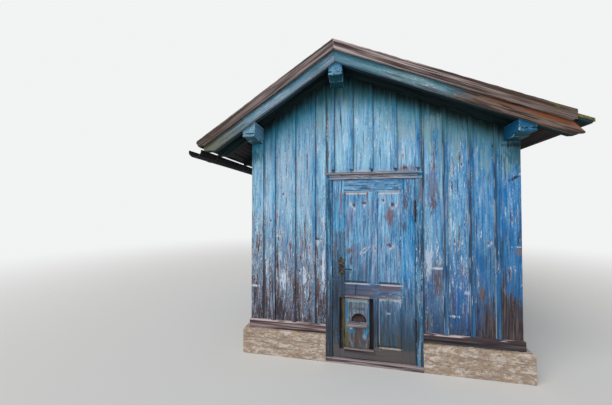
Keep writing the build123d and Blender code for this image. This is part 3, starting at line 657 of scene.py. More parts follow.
def painted_front(name):
    """The paint of the front boards, with the marks that years of use have left, painted shade under
    the two outer beams, and rotten where the right corner meets the ground."""
    material, tree, shader = painted_wall(name, "0E6AAA", "98CAE4", 0.66)
    place, board_wear, board_chalk = grain_place(tree, UPRIGHT)
    greyed = weighted(
        tree, (grain_noise(tree, place, 0.08, 0.5), 0.6), (below_eaves(tree, 0.62, 0.28), 1.6),
        (field(tree, "X", -0.8, 0.3), 1.0), (-1.9, 1.0))
    clear = weighted(tree, (below_eaves(tree, 0.30, 0.08), -1.0), (1.0, 1.0))
    stain(tree, shader, product(tree, step(tree, greyed, 0.0, 1.0, 0.58), clear), colour("78A0A6"))
    deepened = product(tree, field(tree, "X", 0.45, 0.60), field(tree, "Z", 1.15, 0.55), 0.45)
    stain(tree, shader, deepened, colour("1C5080"))
    soaked = product(tree, field(tree, "X", 0.45, 0.60), field(tree, "Z", 0.78, 0.42), 0.55)
    stain(tree, shader, soaked, colour("23262E"))
    damp = weighted(
        tree, (field(tree, "X", 0.65, 1.30), 2.2), (field(tree, "Z", 1.10, 0.40), 2.4),
        (grain_noise(tree, place, 0.014, 0.20), 0.35), (grain_noise(tree, place, 0.05, 0.35), 0.35),
        (-2.95, 1.0))
    decayed = over(
        tree, streaks(tree, place, 0.014, 0.25, -1.0, 1.8), colour("2A2022"), colour("625450"))
    stain(tree, shader, step(tree, damp, -0.5, 0.6, 0.92), decayed)
    broken = streaks(tree, place, 0.020, 0.30, -1.6, 0.8)
    for low, high, strength, tint in (
        ((-1.450, 1.000), (-1.335, 1.950), 0.34, "3A4C5C"),
        ((0.740, 0.420), (1.000, 1.000), 0.34, "0C5CAC"),
        ((1.040, 1.050), (1.260, 1.350), 0.42, "16537C"),
        ((1.300, 0.400), (1.450, 0.750), 0.55, "3A2C26"),
        ((1.040, 0.400), (1.260, 0.700), 0.35, "4A3E38"),
        ((-0.840, 0.900), (-0.690, 1.450), 0.34, "3A3448"),
        ((-0.660, 1.200), (-0.560, 1.750), 0.34, "3C4058"),
        ((-1.250, 1.400), (-1.080, 1.750), 0.42, "AEBDD5"),
        ((-1.060, 1.650), (-0.690, 2.300), 0.36, "B9B2B8"),
        ((-0.510, 2.430), (-0.390, 2.650), 0.85, "9CB3C3"),
        ((0.280, 2.400), (0.450, 2.530), 0.85, "97AFC0"),
        ((0.500, 2.480), (0.720, 2.620), 0.70, "8FAAB6"),
        ((-0.690, 2.470), (-0.560, 2.600), 0.70, "8CB6CE"),
    ):
        faded = product(tree, band(tree, low, high, 0.25), broken, strength)
        stain(tree, shader, faded, colour(tint))
    for centre, half, turn, tint in (
        # The first three marks are painted shade under the outer beams, with a painted shadow line right
        # under the right one
        ((1.370, 2.200), (0.110, 0.120), 0.0, "2E6272"),
        ((1.370, 2.285), (0.140, 0.020), 0.0, "12262C"),
        ((-1.370, 2.270), (0.100, 0.055), 0.0, "1A6478"),
        ((0.330, 2.082), (0.100, 0.038), 0.0, "7C7488"),
        ((0.330, 2.096), (0.024, 0.014), 0.0, "5E3A36"),
        ((-0.115, 2.066), (0.085, 0.016), 0.0, "B6C0D8"),
        ((0.110, 2.066), (0.080, 0.014), 0.0, "9FAECB"),
        ((-0.330, 2.066), (0.040, 0.014), 0.0, "8FB6CE"),
        ((0.590, 1.840), (0.050, 0.210), 0.0, "66708C"),
        ((1.335, 1.962), (0.062, 0.012), -0.55, "1E1A1E"),
        ((1.392, 2.002), (0.020, 0.012), -0.55, "B9C4CC"),
        ((1.386, 1.240), (0.052, 0.036), 0.0, "7A6450"),
        ((1.386, 1.290), (0.052, 0.006), 0.0, "C2CCD2"),
        ((1.395, 1.600), (0.013, 0.160), 0.0, "3E3438"),
        ((1.390, 1.400), (0.012, 0.160), 0.0, "3A2E34"),
        ((0.552, 1.130), (0.030, 0.130), 0.0, "B7C7DC"),
        ((0.633, 0.940), (0.050, 0.150), 0.0, "5A4A56"),
        ((0.633, 1.050), (0.052, 0.012), 0.0, "C4D2E2"),
        ((0.785, 0.575), (0.034, 0.010), 0.0, "C4D4E4"),
        ((0.911, 0.820), (0.026, 0.016), 0.0, "A9C0DA"),
        ((0.776, 0.730), (0.010, 0.110), 0.0, "54404A"),
        ((1.032, 0.830), (0.018, 0.100), 0.0, "66524E"),
        ((0.604, 2.130), (0.012, 0.110), 0.0, "6A5054"),
        ((0.600, 1.700), (0.032, 0.100), 0.0, "5F4C52"),
        ((-1.364, 0.767), (0.060, 0.012), 0.0, "C8D6E4"),
        ((-1.114, 1.345), (0.040, 0.010), 0.0, "C2D2E2"),
        ((-1.008, 0.850), (0.028, 0.090), 0.0, "C8D8E8"),
        ((-0.757, 0.910), (0.016, 0.120), 0.0, "CAD8E8"),
        ((-0.626, 1.290), (0.040, 0.034), 0.0, "C0D0E0"),
        ((-0.626, 1.323), (0.036, 0.012), 0.0, "2A262E"),
        ((-1.046, 0.500), (0.060, 0.095), 0.0, "352E38"),
        ((-1.080, 1.080), (0.012, 0.160), 0.0, "4A3038"),
        ((-0.545, 0.980), (0.012, 0.200), 0.0, "D2DEEA"),
    ):
        stain(tree, shader, product(tree, mark(tree, centre, half, turn), 0.85), colour(tint))
    for centre, radius in (
        ((-1.003, 1.828), 0.013), ((-1.16, 1.52), 0.010), ((0.864, 2.110), 0.010),
        ((1.100, 1.320), 0.011), ((-0.820, 0.960), 0.012),
    ):
        knot(tree, shader, centre, radius)
    return material


def painted_barge(name, slope):
    """The paint of the barge boards: grey and rubbed along the lower edge, greener under the planks,
    with lichen at the left foot and rot through the right one."""
    deep, light = ("2E7490", "86A8BC") if slope.side < 0 else ("2A687C", "82A4AA")
    material, tree, shader = painted_pine(name, slope.turn(), deep, light, 0.5, -0.2, -0.4, 0.0)
    place, board_wear, board_chalk = grain_place(tree, slope.turn())
    stain(tree, shader, product(tree, slope_field(tree, slope, slope.out, 0.045, 0.095), 0.6),
          colour("2C5D6C"))
    rubbed = streaks(tree, place, 0.02, 0.5, -1.4, 1.2)
    lower = slope_field(tree, slope, slope.out, 0.034, 0.006)
    stain(tree, shader, product(tree, lower, rubbed, 0.60), colour("8C8482"))
    stain(tree, shader, streaks(tree, place, 0.012, 0.4, 0.5, 1.3, 0.7), colour("3B3F45"))
    if slope.side < 0:
        foot = slope_field(tree, slope, slope.down, 0.9, 1.7)
        stain(tree, shader, product(tree, foot, 0.85), colour("625C38"))
        return material
    sound = product(tree, slope_field(tree, slope, slope.down, 0.9, 0.1), 0.5)
    stain(tree, shader, sound, colour("1E6E8C"))
    foot = weighted(
        tree, (slope_field(tree, slope, slope.down, 0.75, 1.75), 2.6),
        (slope_field(tree, slope, slope.out, 0.03, 0.09), 0.4), (grain_noise(tree, place, 0.02, 0.3), 0.35),
        (-1.1, 1.0))
    wood = over(tree, streaks(tree, place, 0.012, 0.25, -1.2, 1.4), colour("2E221C"), colour("746258"))
    stain(tree, shader, step(tree, foot, -0.3, 0.4), wood)
    red = product(
        tree, slope_field(tree, slope, slope.down, 1.25, 1.8),
        slope_field(tree, slope, slope.out, 0.035, 0.075), streaks(tree, place, 0.02, 0.35, -0.6, 0.6))
    stain(tree, shader, product(tree, red, 0.85), colour("93502E"))
    return material


def upward(tree, start, end):
    """How far a surface leans up, from 0 where its normal's height is start to 1 where it is end."""
    normal = add_node(tree, "NewGeometry").outputs["Normal"]
    parts = add_node(tree, "SeparateXYZ", None, {0: normal})
    return step(tree, parts.outputs[2], start, end)


def painted_door(name, turn, tone, browned=0.0):
    """The paint of the door: bluer and less chalked than the walls, worn to pale wood with a painted
    highlight on the bevels that rain runs down, painted shade on faces that turn down, rubbed brown
    in streaks, and dark and green with damp towards its foot."""
    material, tree, shader = painted_pine(name, turn, "0A669C", "90CAEC", tone, -0.5, -0.6, 0.25)
    place, board_wear, board_chalk = grain_place(tree, turn)
    brown = weighted(
        tree, (grain_noise(tree, place, 0.015, 0.22), 0.75), (grain_noise(tree, place, 0.08, 0.4), 0.65),
        (browned - 1.2, 1.0))
    stain(tree, shader, step(tree, brown, 0.0, 0.6, 0.55), colour("6B5A66"))
    stain(tree, shader, streaks(tree, place, 0.012, 0.18, 0.9, 1.7, 0.55), colour("B0BEDC"))
    stain(tree, shader, streaks(tree, place, 0.013, 0.26, 0.6, 1.6, 0.50), colour("0C4474"))
    # Faces that lean up get pale worn wood with a painted highlight; faces that lean down get painted shade
    weathered = streaks(tree, place, 0.02, 0.20, -2.0, -0.5, 0.9)
    stain(tree, shader, product(tree, upward(tree, 0.15, 0.26), weathered), colour("B4C4DA"))
    stain(tree, shader, product(tree, upward(tree, -0.15, -0.26), 0.75), colour("22303E"))

    # Damp climbs highest beside the lock and lowest under the hinges
    object_place = add_node(tree, "TexCoord").outputs["Object"]
    parts = add_node(tree, "SeparateXYZ", None, {0: object_place})
    climb = weighted(
        tree, (parts.outputs[2], 1.0), (parts.outputs[0], 0.80),
        (grain_noise(tree, place, 0.03, 0.3), 0.05))
    stain(tree, shader, step(tree, climb, 1.05, 0.55, 0.86), colour("2C4760"))
    soiled = product(
        tree, step(tree, climb, 0.75, 0.35), streaks(tree, place, 0.018, 0.30, -0.8, 1.0, 0.85))
    stain(tree, shader, soiled, colour("2E2A2E"))
    green = product(tree, field(tree, "Z", 0.52, 0.14), streaks(tree, place, 0.02, 0.35, -1.2, 0.8, 0.75))
    stain(tree, shader, green, colour("4C4B38"))
    rail = product(
        tree, band(tree, (-0.303, 0.715), (0.275, 0.845)), streaks(tree, place, 0.011, 0.14, -0.3, 0.8, 0.7))
    stain(tree, shader, rail, colour("705A60"))
    for low, high, strength, tint in (
        ((-0.303, 0.715), (0.275, 0.845), 0.42, "4A5672"),
        ((0.282, 0.150), (0.440, 0.800), 0.50, "2C4058"),
        ((-0.440, 0.950), (-0.306, 1.430), 0.52, "223C56"),
        ((-0.440, 0.280), (-0.306, 0.950), 0.42, "1C2432"),
        ((-0.440, 1.430), (-0.306, 1.760), 0.32, "10A0D4"),
        ((0.282, 0.950), (0.440, 1.560), 0.30, "0A9CDC"),
        ((0.282, 0.050), (0.440, 0.300), 0.35, "33372C"),
        ((0.047, 0.806), (0.275, 0.846), 0.60, "6A5254"),
        ((-0.300, 0.847), (-0.046, 0.861), 0.80, "B8BCCC"),
        ((0.050, 0.847), (0.272, 0.861), 0.80, "C4BCC4"),
        ((0.050, 0.188), (0.272, 0.201), 0.80, "B8AEA6"),
        ((-0.440, 0.050), (0.440, 0.186), 0.55, "625654"),
        ((0.048, 0.220), (0.056, 0.700), 0.45, "9CB4C8"),
        ((-0.362, 1.600), (-0.334, 1.860), 0.60, "7A5052"),
        # Cream lines along the panels' top bevels: worn wood with a painted highlight
        ((-0.303, 1.831), (-0.046, 1.846), 0.85, "DCCAB6"),
        ((0.048, 1.831), (0.275, 1.846), 0.85, "DCCAB6"),
        ((0.050, 0.697), (0.272, 0.712), 0.80, "D2C2B0"),
        ((-0.072, 1.740), (-0.060, 1.830), 0.75, "A0603A"),
        ((-0.428, 1.130), (-0.412, 1.290), 0.70, "6A4640"),
    ):
        stain(tree, shader, product(tree, band(tree, low, high), strength), colour(tint))
    for centre, half, turn, tint in (
        ((-0.091, 1.883), (0.050, 0.012), 0.0, "1E4258"),
        ((0.224, 1.880), (0.034, 0.012), 0.0, "2E4658"),
        ((-0.262, 1.206), (0.036, 0.024), 0.0, "5E4A48"),
        ((-0.100, 1.210), (0.056, 0.018), -0.75, "C0D2E0"),
        ((-0.100, 1.212), (0.034, 0.006), -0.75, "4A3634"),
        ((0.170, 1.600), (0.045, 0.090), 0.0, "6C6078"),
        ((0.166, 1.570), (0.016, 0.080), 0.0, "7A564E"),
        ((0.322, 1.735), (0.026, 0.100), 0.0, "4A4A60"),
        ((0.350, 1.860), (0.016, 0.060), 0.0, "5A6078"),
        ((0.310, 1.475), (0.024, 0.060), 0.0, "40485A"),
        ((0.150, 0.640), (0.034, 0.060), 0.0, "3A5068"),
        ((0.150, 0.558), (0.022, 0.008), 0.0, "8CAEC8"),
        ((0.262, 0.676), (0.012, 0.040), 0.0, "B4BEC6"),
        ((-0.240, 1.100), (0.010, 0.070), 0.0, "33405A"),
    ):
        stain(tree, shader, product(tree, mark(tree, centre, half, turn), 0.80), colour(tint))
    for centre, radius in (
        ((-0.208, 1.701), 0.017), ((-0.098, 1.722), 0.017), ((0.096, 1.753), 0.013),
        ((0.195, 1.704), 0.018), ((0.164, 1.273), 0.018), ((-0.190, 0.60), 0.008),
    ):
        knot(tree, shader, centre, radius)
    return material


def painted_patch(name):
    """The board that mends the lower left panel: the paint gone to a greenish grey, with blue left
    beside its edges and brown wood under the shelf."""
    material, tree, shader = painted_pine(name, UPRIGHT, "44586A", "8496A0", 0.50, -0.2, -1.0, 0.3)
    place, board_wear, board_chalk = grain_place(tree, UPRIGHT)
    dark = streaks(tree, place, 0.016, 0.22, 0.2, 1.2, 0.6)
    stain(tree, shader, dark, colour("3E4A52"))
    low = product(tree, field(tree, "Z", 0.42, 0.32), streaks(tree, place, 0.02, 0.2, -2.2, 0.4, 0.85))
    stain(tree, shader, low, colour("433C36"))
    for low_corner, high_corner, strength, tint in (
        ((-0.304, 0.460), (-0.272, 0.690), 0.75, "1C6C9C"),
        ((-0.300, 0.150), (-0.265, 0.400), 0.65, "5A5A30"),
        ((-0.072, 0.400), (-0.052, 0.690), 0.60, "2A7298"),
        ((-0.290, 0.655), (-0.060, 0.695), 0.55, "9FB0B8"),
    ):
        stain(tree, shader, product(tree, band(tree, low_corner, high_corner), strength), colour(tint))
    for centre, half, turn, tint in (
        ((-0.235, 0.345), (0.034, 0.030), 0.0, "2E7AA0"),
        ((-0.090, 0.345), (0.024, 0.060), 0.2, "2C80AC"),
        ((-0.250, 0.375), (0.016, 0.010), 0.0, "9CC6DC"),
        ((-0.105, 0.300), (0.018, 0.030), 0.0, "74A8C8"),
        ((-0.165, 0.300), (0.036, 0.110), 0.0, "54423E"),
        ((-0.165, 0.585), (0.060, 0.016), 0.0, "32424E"),
    ):
        stain(tree, shader, product(tree, mark(tree, centre, half, turn), 0.80), colour(tint))
    return material


def damp_backing(name):
    """The board behind the mended panel: nearly black with damp, and green with algae at the left."""
    material, tree, shader = weathered_timber(name, UPRIGHT, "141012", "241E22", "3A3036", 0.002)
    place, board_wear, board_chalk = grain_place(tree, UPRIGHT)
    algae = streaks(tree, place, 0.02, 0.2, -2.0, 0.0, 0.75)
    edge = band(tree, (-0.340, 0.150), (-0.300, 0.720))
    stain(tree, shader, product(tree, edge, algae), colour("58583A"))
    behind_hole = product(tree, mark(tree, (-0.155, 0.462), (0.058, 0.030)), 0.7)
    stain(tree, shader, behind_hole, colour("54443C"))
    return material


def worn_moulding(name):
    """The moulded ledge over the door: the blue all but gone, pinkish wood with rusty streaks, and a
    painted shadow under its top board.
    """
    material, tree, shader = painted_pine(name, LEVEL, "3E6E8C", "9CAAB6", 0.5, 0.2, 0.4, 0.0)
    place, board_wear, board_chalk = grain_place(tree, LEVEL)
    stain(tree, shader, streaks(tree, place, 0.009, 0.22, -0.1, 0.9, 0.8), colour("A0888A"))
    stain(tree, shader, streaks(tree, place, 0.009, 0.16, 0.45, 1.1, 0.9), colour("5E4238"))
    stain(tree, shader, product(tree, field(tree, "X", 0.20, 0.45), 0.6), colour("4C7EA4"))
    lip = product(tree, field(tree, "Z", 2.004, 1.990), streaks(tree, place, 0.02, 0.15, -1.6, 0.2, 0.8))
    stain(tree, shader, lip, colour("B8BCCC"))
    top = product(tree, field(tree, "Z", 2.036, 2.044), field(tree, "X", 0.35, -0.25))
    stain(tree, shader, product(tree, top, 0.85), colour("6A4A34"))
    under = product(tree, field(tree, "Z", 2.044, 2.038), field(tree, "Z", 2.020, 2.030), 0.6)
    stain(tree, shader, under, colour("8E9AA4"))
    # A painted shadow under the projecting top board
    dark_line = product(tree, field(tree, "Z", 2.034, 2.028), field(tree, "Z", 2.014, 2.022), 0.75)
    stain(tree, shader, dark_line, colour("3A3A44"))
    return material


def sill_timber(name):
    """The bare sill beams: pinkish grey on the left of the door, and soaked nearly black on the
    right of it, with a pale upper arris."""
    material, tree, shader = weathered_timber(name, LEVEL, "3A2E30", "786464", "AC9A9A", 0.004)
    place, board_wear, board_chalk = grain_place(tree, LEVEL)
    soaked = over(tree, streaks(tree, place, 0.02, 0.5, -1.0, 1.6), colour("1E1A1E"), colour("4A4448"))
    stain(tree, shader, product(tree, field(tree, "X", 0.30, 0.50), 0.92), soaked)
    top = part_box("sill_beams_ends")[1].z
    dark_line = product(tree, field(tree, "Z", top - 0.036, top - 0.024), 0.6)
    stain(tree, shader, dark_line, colour("4A3C40"))
    rubbed = product(
        tree, field(tree, "Z", top - 0.020, top - 0.012), streaks(tree, place, 0.05, 0.30, -1.8, 0.0, 0.9))
    stain(tree, shader, rubbed, colour("C8B8BA"))
    return material


def damp_post(name):
    """The posts of the door frame: the deepest blue of the front, brown where they stand in damp."""
    material, tree, shader = painted_pine(name, UPRIGHT, "0E4668", "64AAD4", 0.30, -0.6, -0.8, 0.3)
    place, board_wear, board_chalk = grain_place(tree, UPRIGHT)
    damp = weighted(
        tree, (field(tree, "Z", 1.25, 0.25), 2.4), (field(tree, "X", 0.4, -0.4), 1.0),
        (grain_noise(tree, place, 0.02, 0.35), 0.5), (-1.9, 1.0))
    stain(tree, shader, step(tree, damp, -0.5, 1.0, 0.85), colour("2B2A2E"))
    stain(tree, shader, product(tree, band(tree, (0.452, 1.720), (0.520, 1.980)), 0.5), colour("7E6468"))
    return material


def weathered_timber(name, turn, dark, body, light, relief=0.004):
    """Unpainted softwood left to the weather: the soft growth is washed out between hard, pale ribs,
    and the grey surface is split by long checks. The ribs are drawn 14 mm wide, coarser than the
    real ones, so that they show."""
    material, tree, shader = new_material(name)
    place, board_wear, board_chalk = grain_place(tree, turn)
    bands = grain_noise(tree, place, 0.034, 1.1)
    ribs = grain_noise(tree, place, 0.014, 0.50)
    tone = weighted(tree, (bands, 0.7), (ribs, 0.6))
    wood = over(tree, step(tree, tone, -0.5, 1.5), colour(body), colour(light))
    wood = over(tree, step(tree, tone, 0.0, -1.4, 0.95), wood, colour(dark))
    checks = streaks(tree, place, 0.010, 0.60, 1.4, 1.8, 1.0, 1)
    wood = over(tree, checks, wood, colour("1C1616"))
    tree.links.new(wood, shader.inputs["Base Color"])
    worn_edge = add_node(tree, "Attribute", {"attribute_name": "arris"}).outputs["Fac"]
    stain(tree, shader, product(tree, worn_edge, 0.6), colour(light))
    shader.inputs["Roughness"].default_value = 0.88
    shader.inputs["Specular IOR Level"].default_value = 0.25
    height = weighted(tree, (tone, 0.12), (checks, -0.8))
    bump = add_node(tree, "Bump", None, {"Height": height, "Strength": 0.8, "Distance": relief})
    tree.links.new(bump.outputs[0], shader.inputs["Normal"])
    return material, tree, shader


def soffit_timber(name):
    """The roof boards from below: dark bare wood, with a dark teal wash in front of the wall that is
    blue paint darkened as painted shade.
    """
    material, tree, shader = weathered_timber(name, INWARD, "1C1817", "332B28", "4C413B", 0.002)
    # Dark teal wash: blue paint, darkened as painted shade
    stain(tree, shader, product(tree, field(tree, "Y", -1.44, -1.50), 0.85), colour("1C363C"))
    return material


def verge_timber(name, slope):
    """The planks along the verge: pinkish grey, with a bright lower arris, and moss on the lower
    third of the left one and at the right one's end."""
    dark, body, light = ("2E2628", "5E5250", "998A88") if slope.side < 0 else ("3E3232", "7E6F6C", "B5A6A5")
    material, tree, shader = weathered_timber(name, slope.turn(), dark, body, light, 0.005)
    place, board_wear, board_chalk = grain_place(tree, slope.turn())
    patch = grain_noise(tree, place, 0.03, 0.12)
    if slope.side < 0:
        dull = product(tree, slope_field(tree, slope, slope.down, 0.5, 1.5), 0.6)
        stain(tree, shader, dull, colour("44362A"))
        moss = weighted(
            tree, (slope_field(tree, slope, slope.down, 0.5, 1.7), 1.4),
            (slope_field(tree, slope, slope.out, 0.16, 0.20), 1.6), (patch, 0.8), (-2.0, 1.0))
        stain(tree, shader, step(tree, moss, 0.0, 1.0, 0.7), colour("2F2E26"))
        return material
    dull = product(tree, slope_field(tree, slope, slope.down, 0.9, 2.0), 0.55)
    stain(tree, shader, dull, colour("46331F"))
    moss = weighted(
        tree, (slope_field(tree, slope, slope.down, 1.5, 2.3), 1.8),
        (slope_field(tree, slope, slope.out, 0.15, 0.20), 1.0), (patch, 0.8), (-2.6, 1.0))
    stain(tree, shader, step(tree, moss, 0.0, 0.8, 0.85), colour("5F6422"))
    return material


def painted_beam(name):
    """The paint of the three beams: bright on the sawn ends, with painted shade where the carving
    turns under.
    """
    material, tree, shader = painted_pine(name, INWARD, "0A5C86", "68AECE", 0.46, -0.9, -0.8, 0.0)
    left = product(tree, field(tree, "X", -0.9, -1.1), upward(tree, -0.10, 0.05), 0.32)
    stain(tree, shader, left, colour("A4B2B4"))
    right = product(tree, field(tree, "X", 0.9, 1.1), 0.55)
    stain(tree, shader, right, colour("065E86"))
    # Painted shade on the faces that turn down
    stain(tree, shader, product(tree, upward(tree, -0.10, -0.35), 0.92), colour("04424C"))
    worn_edge = add_node(tree, "Attribute", {"attribute_name": "arris"}).outputs["Fac"]
    place, board_wear, board_chalk = grain_place(tree, INWARD)
    rubbed = product(tree, worn_edge, streaks(tree, place, 0.03, 0.05, 0.2, 1.0, 0.8))
    stain(tree, shader, rubbed, colour("B8CEDA"))
    return material


def rough_concrete(name):
    """Concrete cast between rough boards: sandy, with pale laitance, dark stains, hair cracks, board
    marks and spots of lichen. The sand is drawn 8 mm wide, coarser than it is, so that it shows."""
    material, tree, shader = new_material(name)
    place = add_node(tree, "TexCoord").outputs["Object"]
    parts = add_node(tree, "SeparateXYZ", None, {0: place})
    cloud = grain_noise(tree, place, 0.22, 0.07, 3)
    sand = grain_noise(tree, place, 0.008, 0.008)
    lumps = grain_noise(tree, place, 0.040, 0.022)
    pale = weighted(tree, (cloud, 0.7), (sand, 0.45), (lumps, 0.6), (-0.2, 1.0))
    base = over(tree, step(tree, pale, -0.6, 1.2, 0.9), colour("B09C8C"), colour("DCD0C6"))
    stained = weighted(tree, (cloud, -0.5), (sand, 0.5), (lumps, -0.7), (-0.9, 1.0))
    base = over(tree, step(tree, stained, 0.0, 1.0, 0.42), base, colour("7A6C62"))
    # Hair cracks run where a slow noise crosses its mean
    wander = add_node(
        tree, "Math", {"operation": "ABSOLUTE"}, {0: grain_noise(tree, place, 0.16, 0.05, 3)}).outputs[0]
    cracks = step(tree, wander, 0.08, 0.01, 0.55)
    base = over(tree, cracks, base, colour("4C4038"))
    # Board marks: a fine ridge every 95 mm up the face
    rows = add_node(tree, "Math", {"operation": "PINGPONG"}, {0: parts.outputs[2], 1: 0.0475}).outputs[0]
    ridge = product(tree, step(tree, rows, 0.006, 0.0), step(tree, lumps, -1.2, 0.6))
    base = over(tree, product(tree, ridge, 0.65), base, colour("6E5E54"))
    lichen = weighted(tree, (grain_noise(tree, place, 0.035, 0.030), 1.0), (sand, 0.3), (-1.6, 1.0))
    base = over(tree, step(tree, lichen, 0.0, 0.5, 0.8), base, colour("C9A440"))
    tree.links.new(base, shader.inputs["Base Color"])
    shader.inputs["Roughness"].default_value = 0.92
    shader.inputs["Specular IOR Level"].default_value = 0.25
    height = weighted(tree, (sand, 0.25), (ridge, 0.8), (lumps, 0.4), (cracks, -1.0))
    bump = add_node(tree, "Bump", None, {"Height": height, "Strength": 0.9, "Distance": 0.005})
    tree.links.new(bump.outputs[0], shader.inputs["Normal"])
    return material


def gritted_felt(name):
    """Bitumen roofing felt with a worn slate grit, and litter and moss that have settled on it."""
    material, tree, shader = new_material(name)
    place = add_node(tree, "TexCoord").outputs["Object"]
    grit = add_node(tree, "TexNoise", None, {"Vector": place, "Scale": 220.0, "Detail": 2.0})
    cloud = add_node(tree, "TexNoise", None, {"Vector": place, "Scale": 9.0, "Detail": 5.0})
    felt = add_node(
        tree, "Mix", COLOUR_MIX,
        {0: grit.outputs[0], 6: colour("2B2927"), 7: colour("5A554F")}).outputs[2]
    moss = add_node(
        tree, "MapRange", SOFT_STEP,
        {"Value": cloud.outputs[0], "From Min": 0.48, "From Max": 0.64, "To Max": 0.75}).outputs[0]
    tuft = add_node(
        tree, "Mix", COLOUR_MIX,
        {0: grit.outputs[0], 6: colour("3E3D24"), 7: colour("74703C")}).outputs[2]
    top = add_node(tree, "Mix", COLOUR_MIX, {0: moss, 6: felt, 7: tuft}).outputs[2]
    tree.links.new(top, shader.inputs["Base Color"])
    tufts = streaks(tree, place, 0.03, 0.03, -1.0, 0.6, 0.85)
    stain(tree, shader, product(tree, field(tree, "X", 1.35, 1.70), tufts), colour("7E7A2C"))
    shader.inputs["Roughness"].default_value = 0.93
    height = weighted(tree, (grit.outputs[0], 0.4), (moss, 1.0))
    bump = add_node(tree, "Bump", None, {"Height": height, "Strength": 0.8, "Distance": 0.005})
    tree.links.new(bump.outputs[0], shader.inputs["Normal"])
    return material


def moss_cushion(name):
    """Moss cushions: matt, yellow green on top and brown where they dry out."""
    material, tree, shader = new_material(name)
    place = add_node(tree, "TexCoord").outputs["Object"]
    fuzz = add_node(tree, "TexNoise", None, {"Vector": place, "Scale": 120.0, "Detail": 4.0})
    patch = add_node(tree, "TexNoise", None, {"Vector": place, "Scale": 9.0, "Detail": 3.0})
    mix = weighted(tree, (fuzz.outputs[0], 0.6), (patch.outputs[0], 0.4))
    wide = add_node(
        tree, "MapRange", SOFT_STEP, {"Value": mix, "From Min": 0.35, "From Max": 0.65}).outputs[0]
    tuft = add_node(
        tree, "Mix", COLOUR_MIX, {0: wide, 6: colour("4B3F22"), 7: colour("9A8F3A")}).outputs[2]
    tree.links.new(tuft, shader.inputs["Base Color"])
    shader.inputs["Roughness"].default_value = 1.0
    shader.inputs["Specular IOR Level"].default_value = 0.1
    bump = add_node(
        tree, "Bump", None, {"Height": fuzz.outputs[0], "Strength": 1.0, "Distance": 0.004})
    tree.links.new(bump.outputs[0], shader.inputs["Normal"])
    return material


def rusted_iron(name, scale_tint="1C1616", bloom_tint="4A3628"):
    """Forged iron rusted all over: dark scale with a bloom of another tint."""
    material, tree, shader = new_material(name)
    place = add_node(tree, "TexCoord").outputs["Object"]
    scale = add_node(tree, "TexNoise", None, {"Vector": place, "Scale": 55.0, "Detail": 6.0})
    bloom = add_node(
        tree, "MapRange", SOFT_STEP,
        {"Value": scale.outputs[0], "From Min": 0.45, "From Max": 0.65}).outputs[0]
    rust = add_node(
        tree, "Mix", COLOUR_MIX, {0: bloom, 6: colour(scale_tint), 7: colour(bloom_tint)}).outputs[2]
    tree.links.new(rust, shader.inputs["Base Color"])
    shader.inputs["Metallic"].default_value = 0.35
    shader.inputs["Roughness"].default_value = 0.75
    bump = add_node(
        tree, "Bump", None, {"Height": scale.outputs[0], "Strength": 0.6, "Distance": 0.0015})
    tree.links.new(bump.outputs[0], shader.inputs["Normal"])
    return material


def hut_material(name):
    """A finish of the hut by name, made the first time that a piece asks for it."""
    found = bpy.data.materials.get(name)
    if found:
        return found
    makers = {
        "painted_pine_front": lambda: painted_front(name),
        "painted_pine_upright": lambda: painted_wall(name, "0E6AAA", "98CAE4", 0.66)[0],
        "painted_pine_batten": lambda: painted_batten(name),
        "painted_pine_level": lambda: painted_pine(
            name, LEVEL, "0A669C", "90CAEC", 0.3, -0.4, -0.5, 0.3)[0],
        "painted_pine_inward": lambda: painted_beam(name),
        "painted_pine_left_slope": lambda: painted_barge(name, LEFT_SLOPE),
        "painted_pine_right_slope": lambda: painted_barge(name, RIGHT_SLOPE),
        "painted_pine_door": lambda: painted_door(name, UPRIGHT, 0.34),
        "painted_pine_door_level": lambda: painted_door(name, LEVEL, 0.27),
        "painted_pine_panel": lambda: painted_door(name, UPRIGHT, 0.42, 0.45),
        "painted_pine_patch": lambda: painted_patch(name),
        "damp_backing": lambda: damp_backing(name),
        "painted_pine_moulding": lambda: worn_moulding(name),
        "painted_pine_damp_post": lambda: damp_post(name),
        "sill_pine": lambda: sill_timber(name),
        "bare_pine": lambda: weathered_timber(name, UPRIGHT, "2A2322", "4A3F3A", "6B5B52", 0.002)[0],
        "bare_pine_level": lambda: weathered_timber(name, LEVEL, "2C2427", "6A5E61", "A4979A", 0.003)[0],
        "bare_pine_inward": lambda: weathered_timber(name, INWARD, "1C1817", "332B28", "4C413B", 0.002)[0],
        # The rafters' near-black teal is their paint darkened as painted shade under the eaves
        "left_rafter": lambda: weathered_timber(
            name, LEFT_SLOPE.turn(), "142022", "1E3034", "263C40", 0.001)[0],
        "right_rafter": lambda: weathered_timber(
            name, RIGHT_SLOPE.turn(), "142022", "1E3034", "263C40", 0.001)[0],
        "soffit_pine": lambda: soffit_timber(name),
        "weathered_left_slope": lambda: verge_timber(name, LEFT_SLOPE),
        "weathered_right_slope": lambda: verge_timber(name, RIGHT_SLOPE),
        "tarred_pine": lambda: weathered_timber(name, INWARD, "0D0C0E", "1D1B1F", "2E2B30", 0.003)[0],
        "rough_concrete": lambda: rough_concrete(name),
        "gritted_felt": lambda: gritted_felt(name),
        "moss_cushion": lambda: moss_cushion(name),
        "rusted_iron": lambda: rusted_iron(name),
        "ochre_iron": lambda: rusted_iron(name, "2C2618", "6E5A36"),
        "dulled_iron": lambda: rusted_iron(name, "2E3048", "4C5470"),
    }
    return makers[name]()


def joint_places(battens, axis):
    """The middles of battens along an axis: the joints of the boards behind them."""
    return sorted({round(middle(mesh)[axis], 4) for mesh in battens})


